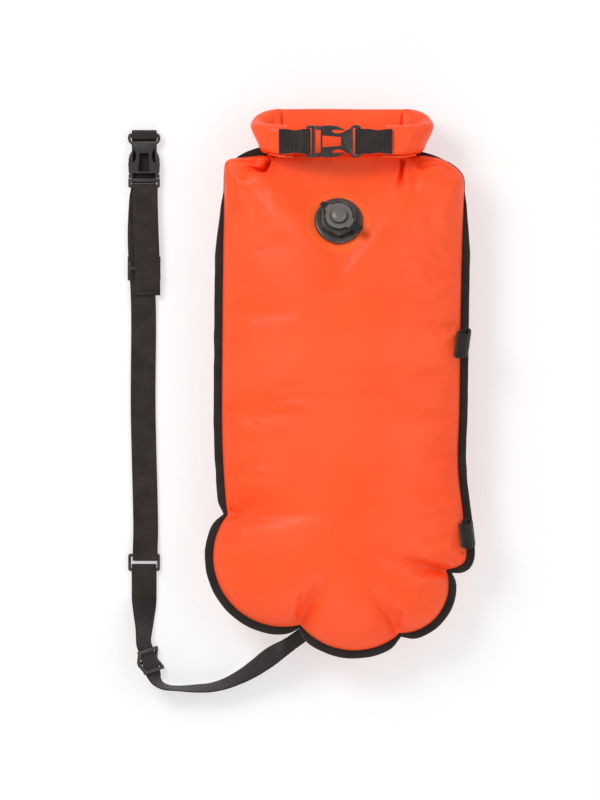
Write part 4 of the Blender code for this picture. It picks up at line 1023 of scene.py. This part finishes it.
def make_skins():
    line, notches = weld_line(WELD_STEP)
    weld = line + evened([line[-1], line[0]], WELD_STEP)[1:-1]
    form = Form(weld, notches)
    skins = []
    for name, sign in (("front_skin_look", 1), ("back_skin_look", -1)):
        spots, faces, count = skin_points(weld, FRONT_STEP if sign > 0 else BACK_STEP, sign > 0)
        places = []
        for p in spots:
            place, share = form.place(p, sign)
            if sign > 0:
                calm = blend((valve_distance(place) - 0.03) / 0.015) if p.y > 0.1 else 1.0
                place.z -= fold_depth(p.x, p.y) * min(1.0, share * 14) * calm
            places.append(place)
        mesh = plain_mesh(name, places, [tuple(f) if sign > 0 else tuple(f)[::-1] for f in faces])
        skin = new_object(name, mesh, "bag", ORANGE_FRONT if sign > 0 else ORANGE)
        if sign > 0:
            swell_cloth(skin, count, CLOTH_CAP)
        mesh.shade_smooth()
        skins.append(skin)
    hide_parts("front_skin")
    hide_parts("back_skin")
    for skin in skins:
        thicken(skin, SKIN, -1.0)
    spots, faces, _ = skin_points(weld, DIVIDER_STEP, False)
    mesh = plain_mesh("divider_look", [(p.x, p.y, form.level(p)) for p in spots], [tuple(f) for f in faces])
    divider = new_object("divider_look", mesh, "bag", ORANGE)
    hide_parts("divider_skin")
    thicken(divider, DIVIDER, 0.0)


def sides_of(points):
    ways = [ahead_at(points, i).normalized() for i in range(len(points))]
    return [Vector((way.y, -way.x)) for way in ways]


BINDING_TOP = 0.229
BINDING_HALF_THICK = 0.0025

# The tape's ends along the shoulders, from the binding to under the roll
SHOULDER_TAPES = (
    ("left", ((-0.1168, 0.205), (-0.114, 0.216), (-0.1085, 0.224), (-0.101, 0.2305), (-0.092, 0.2352),
              (-0.082, 0.2385), (-0.074, 0.2392), (-0.066, 0.2385))),
    ("right", ((0.1192, 0.205), (0.115, 0.216), (0.107, 0.2225), (0.098, 0.2275), (0.09, 0.231),
               (0.08, 0.234), (0.071, 0.2355), (0.064, 0.236))),
)


def make_binding():
    """The folded woven tape over the raw edge of the welded flange."""
    weld, notches = weld_line(BINDING_STEP)
    sides = sides_of(weld)
    lengths = lengths_of(weld)
    rows, kept = [], []
    for i, point in enumerate(weld):
        if point.y > BINDING_TOP:
            continue
        kept.append(lengths[i])
        near = min(abs(lengths[i] - lengths[n]) for n in notches)
        tuck = 1 - 0.6 * math.exp(-(near / 0.01) ** 2)
        share = flange_share(point.y)
        ripple = 0.0005 * noise.noise(Vector((lengths[i] * 60, 2.0, 0.0)))
        wave = 0.001 * noise.noise(Vector((lengths[i] * 22, 7.0, 0.0)))
        height = seam_height(point.x, point.y) + wave * share
        out = (FLANGE * share + 0.0011) * tuck + ripple * share - 0.002 * blend((point.y - 0.182) / 0.025)
        out = max(out, 0.0006)
        thick = BINDING_HALF_THICK
        upper = [(-0.001, thick), (out * 0.45, thick), (out * 0.8, thick * 0.95), (out * 0.97, thick * 0.55)]
        section = upper + [(out, 0.0)] + [(along, -lift) for along, lift in upper[::-1]]
        row = []
        for along, lift in section:
            spot = point + sides[i] * along
            row.append((spot.x, min(spot.y, NECK_RIM), height + lift))
        rows.append(row)
    across = [0.0, 0.005, 0.008, 0.01, 0.011, 0.012, 0.014, 0.017, 0.022, 0.024]
    mesh = grid_mesh("edge_binding_look", rows, closed_across=True, uvs=(kept, across), caps=True)
    binding = new_object("edge_binding_look", mesh, "bag", EDGE_TAPE)
    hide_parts("edge_binding")
    for name, route in SHOULDER_TAPES:
        flat = [Vector(place) for place in route]
        line = evened(smooth(flat, 6), 0.0015)
        path = [Vector((p.x, p.y, seam_height(p.x, min(p.y, BAG_UP)))) for p in line]
        ways = [ahead_at(path, i).normalized() for i in range(len(path))]
        across = [Vector((-w.y, w.x, 0.0)).normalized() for w in ways]
        up = [w.cross(a) for w, a in zip(ways, across)]
        narrow = [a * (0.45 + 0.55 * blend(i / 9)) for i, a in enumerate(across)]
        strap(f"shoulder_tape_{name}", path, narrow, up, width=0.0085, thick=0.004, material=EDGE_TAPE)


# Rolled mouth

def spiral(steps=24):
    """Mid line of the rolled sheet, from its core: which end of the roll, and (along, through) there."""
    found = []
    quarter = steps // 4
    for i in range(int(ROLL_TURNS * steps) + 1):
        turn = 2 * math.pi * i / steps
        radius = ROLL_START + ROLL_PITCH * i / steps
        side = i % steps
        ends = [1.0] if side < quarter or side > 3 * quarter else [-1.0]
        if side == quarter:
            ends = [1 - k / 4 for k in range(9)]
        if side == 3 * quarter:
            ends = [k / 4 - 1 for k in range(9)]
        found += [(end, radius * math.cos(turn), radius * math.sin(turn)) for end in ends]
    return found


def ring_path(steps=52):
    """The ring that the roll is bent into: (x, z, inward x, inward z), and how far it is round its turn."""
    half = RING_STRAIGHT / 2
    centre = RING_LOW + RING_RADIUS
    top = centre + RING_RADIUS
    left = [(-half + RING_FRONT_LEFT * (1 - k / 2), top, 0.0, -1.0, 0.0) for k in range(2)]
    for i in range(steps + 1):
        turn = math.pi / 2 + math.pi * i / steps
        cos, sin = math.cos(turn), math.sin(turn)
        left.append((-half + RING_RADIUS * cos, centre + RING_RADIUS * sin, -cos, -sin, i / steps))
    back = [(-half + RING_STRAIGHT * k / 30, RING_LOW, 0.0, 1.0, 1.0) for k in range(1, 30)]
    right = [(-x, z, -a, b, c) for x, z, a, b, c in reversed(left[2:])]
    right += [(half - RING_FRONT_RIGHT * k / 6, top, 0.0, -1.0, 0.0) for k in range(1, 7)]
    return left + back + right


def roll_ends(z):
    """Foot side and far side of the roll at a height of its ring: it leans, and is shorter in front."""
    share = (z - RING_LOW) / (2 * RING_RADIUS)
    drop = ROLL_FRONT_DROP * blend((share - ROLL_DROP_SHARE) / (1 - ROLL_DROP_SHARE))
    back = ROLL_BOTTOM + ROLL_BACK_HEIGHT
    front = ROLL_BOTTOM - ROLL_FRONT_DROP + ROLL_FRONT_HEIGHT
    reach = ROLL_NECK_REACH * blend((0.9 - share) / 0.5)
    return ROLL_BOTTOM - drop - reach, back + (front - back) * share


# Creases across the roll where it turns: how far round the turn, depth, width as a share of the turn
ROLL_CREASES = [(0.94, 0.0042, 0.02), (0.8, 0.0012, 0.03), (0.56, 0.0016, 0.03), (0.22, 0.0014, 0.045)]


def roll_crease(round_share, span):
    """How deep the roll is creased at a place round its turn."""
    lean = 0.05 * span / 0.02
    creases = [(deep, (round_share - place - lean) / wide) for place, deep, wide in ROLL_CREASES]
    return sum(deep * math.exp(-away ** 2) for deep, away in creases)


def make_roll():
    line = spiral()
    reach = ROLL_START + ROLL_PITCH * ROLL_TURNS + ROLL_SHEET / 2
    rows = []
    along = 0.0
    last = None
    for x, z, in_x, in_z, turned in ring_path():
        spot = Vector((x, z))
        along += (spot - last).length if last else 0.0
        last = spot
        low, high = roll_ends(z)
        bent = 4 * turned * (1 - turned)
        row = []
        for k, (end, v, w) in enumerate(line):
            outer = k / len(line)
            span = end * ((high - low) / 2 - reach) + v
            crease = noise.noise(Vector((along * 70, span * 45, k * 0.03)))
            ridge = 1 - 2 * abs(noise.noise(Vector((along * 60, span * 16, 9.0))))
            soft = noise.noise(Vector((along * 18, span * 22, 3.0)))
            push = 0.0003 * crease + 0.0006 * soft + (0.0003 + 0.0009 * bent) * ridge * outer
            sink = roll_crease(turned, span) * outer if turned > 0 else 0.0
            grow = min(1.0, abs(w) / 0.004)
            sign = 1.0 if w > 0 else -1.0
            w2 = w + sign * (push - sink) * grow
            y = (low + high) / 2 + span + 0.0009 * soft * outer - sink * 0.15 * (1 if end > 0 else -0.3)
            tip = math.exp(-((turned - 0.5) / 0.2) ** 2) * blend(end * 0.5 + 0.5) if turned > 0 else 0.0
            y -= 0.0035 * tip
            flare = 1 + (y - ROLL_MIDDLE) / ROLL_FLARE_LENGTH + 0.03 * tip
            row.append(((x + in_x * w2) * flare, y, z + in_z * w2))
        rows.append(row)
    mesh = grid_mesh("rolled_mouth_look", rows)
    roll = new_object("rolled_mouth_look", mesh, "bag", ROLL_ORANGE)
    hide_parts("rolled_mouth")
    thicken(roll, ROLL_SHEET, 0.0)


# Gear loops

LOOP_SHARES = [
    (0.1, 0.0), (0.7, 0.0), (0.95, 0.16), (1.06, 0.55), (1.02, 1.02), (0.82, 1.44), (0.42, 1.74),
    (-0.1, 1.8), (-0.48, 1.56), (-0.6, 1.16), (-0.42, 0.74), (-0.05, 0.42), (0.25, 0.24), (0.55, 0.2),
]


def make_gear_loops():
    for node, lean in (("gear_loop_upper", 0.14), ("gear_loop_lower", -0.12)):
        low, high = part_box(node)
        middle = (low.y + high.y) / 2
        left = low.x + 0.36 * 0.008 + WEBBING_THICK / 2

        def place(along, up, left=left, middle=middle, base=low.z + WEBBING_THICK / 2):
            return Vector((left + along, middle - 0.45 * up, base + up))

        path = smooth([Vector((a * 0.008, b * 0.008)) for a, b in LOOP_SHARES], 8)
        sideways = Vector((lean, 1, 0)).normalized()
        loop = flat_strap(f"{node}_look", path, place, sideways, width=high.y - low.y, material=EDGE_TAPE)
        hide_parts(node)


# Mouldings

BUCKLE_PARTS = (
    ("roll_buckle_socket", "bag"), ("roll_buckle_plug", "roll_plug"),
    ("roll_plug_arm_upper", "roll_arm_upper"), ("roll_plug_arm_lower", "roll_arm_lower"),
    ("belt_buckle_socket", "bag"), ("belt_buckle_plug", "belt_plug"),
    ("belt_plug_arm_left", "belt_arm_left"), ("belt_plug_arm_right", "belt_arm_right"),
    ("belt_adjuster", "adjuster"),
)


def detailed_copy(node, body, material=BUCKLE_PLASTIC, bevel=0.0005):
    """A CAD moulding's shape with rounded edges."""
    mesh = nodes[node].data.copy()
    mesh.materials.clear()
    shape = bmesh.new()
    shape.from_mesh(mesh)
    bmesh.ops.remove_doubles(shape, verts=shape.verts, dist=1e-6)
    bmesh.ops.dissolve_limit(shape, angle_limit=math.radians(2), verts=shape.verts, edges=shape.edges)
    shape.to_mesh(mesh)
    shape.free()
    mesh.shade_smooth()
    piece = new_object(f"{node}_look", mesh, body, material)
    set_all(
        piece.modifiers.new("rounded", "BEVEL"), width=bevel, segments=2, limit_method="ANGLE",
        angle_limit=math.radians(30), use_clamp_overlap=True,
    )
    piece.modifiers.new("normals", "WEIGHTED_NORMAL").keep_sharp = True
    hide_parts(node)
    return piece


def slim_tabs(tether):
    """Draw the tether's two tabs in towards their tips."""
    for vertex in tether.data.vertices:
        away = vertex.co - VALVE
        out = away - VALVE_AXIS * away.dot(VALVE_AXIS)
        if out.length < TAB_ROOT:
            continue
        toward = Vector((0.8, -0.6, 0.0)) if out.x > 0 else Vector((-0.8, 0.6, 0.0))
        toward = (toward - VALVE_AXIS * toward.dot(VALVE_AXIS)).normalized()
        side = VALVE_AXIS.cross(toward)
        vertex.co -= side * (out.dot(side) * (1 - TAB_TIP_SHARE))


def make_mouldings():
    for node, body in BUCKLE_PARTS:
        detailed_copy(node, body)
    detailed_copy("belt_ring", "bag", bevel=0.0007)
    detailed_copy("valve_base", "bag", VALVE_PLASTIC, 0.0008)
    turned = detailed_copy("valve_body", "valve_turner", VALVE_PLASTIC, 0.001)
    turn = Matrix.Rotation(math.radians(30), 3, VALVE_AXIS)
    for vertex in turned.data.vertices:
        vertex.co = VALVE + turn @ (vertex.co - VALVE)
    cap = detailed_copy("valve_cap", "stopper", VALVE_CAP, 0.0006)
    above = max((v.co - VALVE).dot(VALVE_AXIS) for v in nodes["valve_tether"].data.vertices)
    for vertex in cap.data.vertices:
        away = vertex.co - VALVE
        height = away.dot(VALVE_AXIS)
        if height > above + 0.0001:
            vertex.co = VALVE + VALVE_AXIS * height + (away - VALVE_AXIS * height) * KNOB_GROWTH
    slim_tabs(detailed_copy("valve_tether", "tether", VALVE_SOFT, 0.0003))
    for node, material in (
        ("valve_seal", VALVE_SOFT), ("valve_flap", VALVE_SOFT), ("mouth_stiffener", CLEAR_WHITE),
        ("valve_weld_flange", ORANGE),
    ):
        nodes[node].data.materials.clear()
        nodes[node].data.materials.append(material)


make_stage()
make_leash()
make_belt()
make_skins()
make_binding()
make_roll()
make_roll_webbing()
make_gear_loops()
make_mouldings()
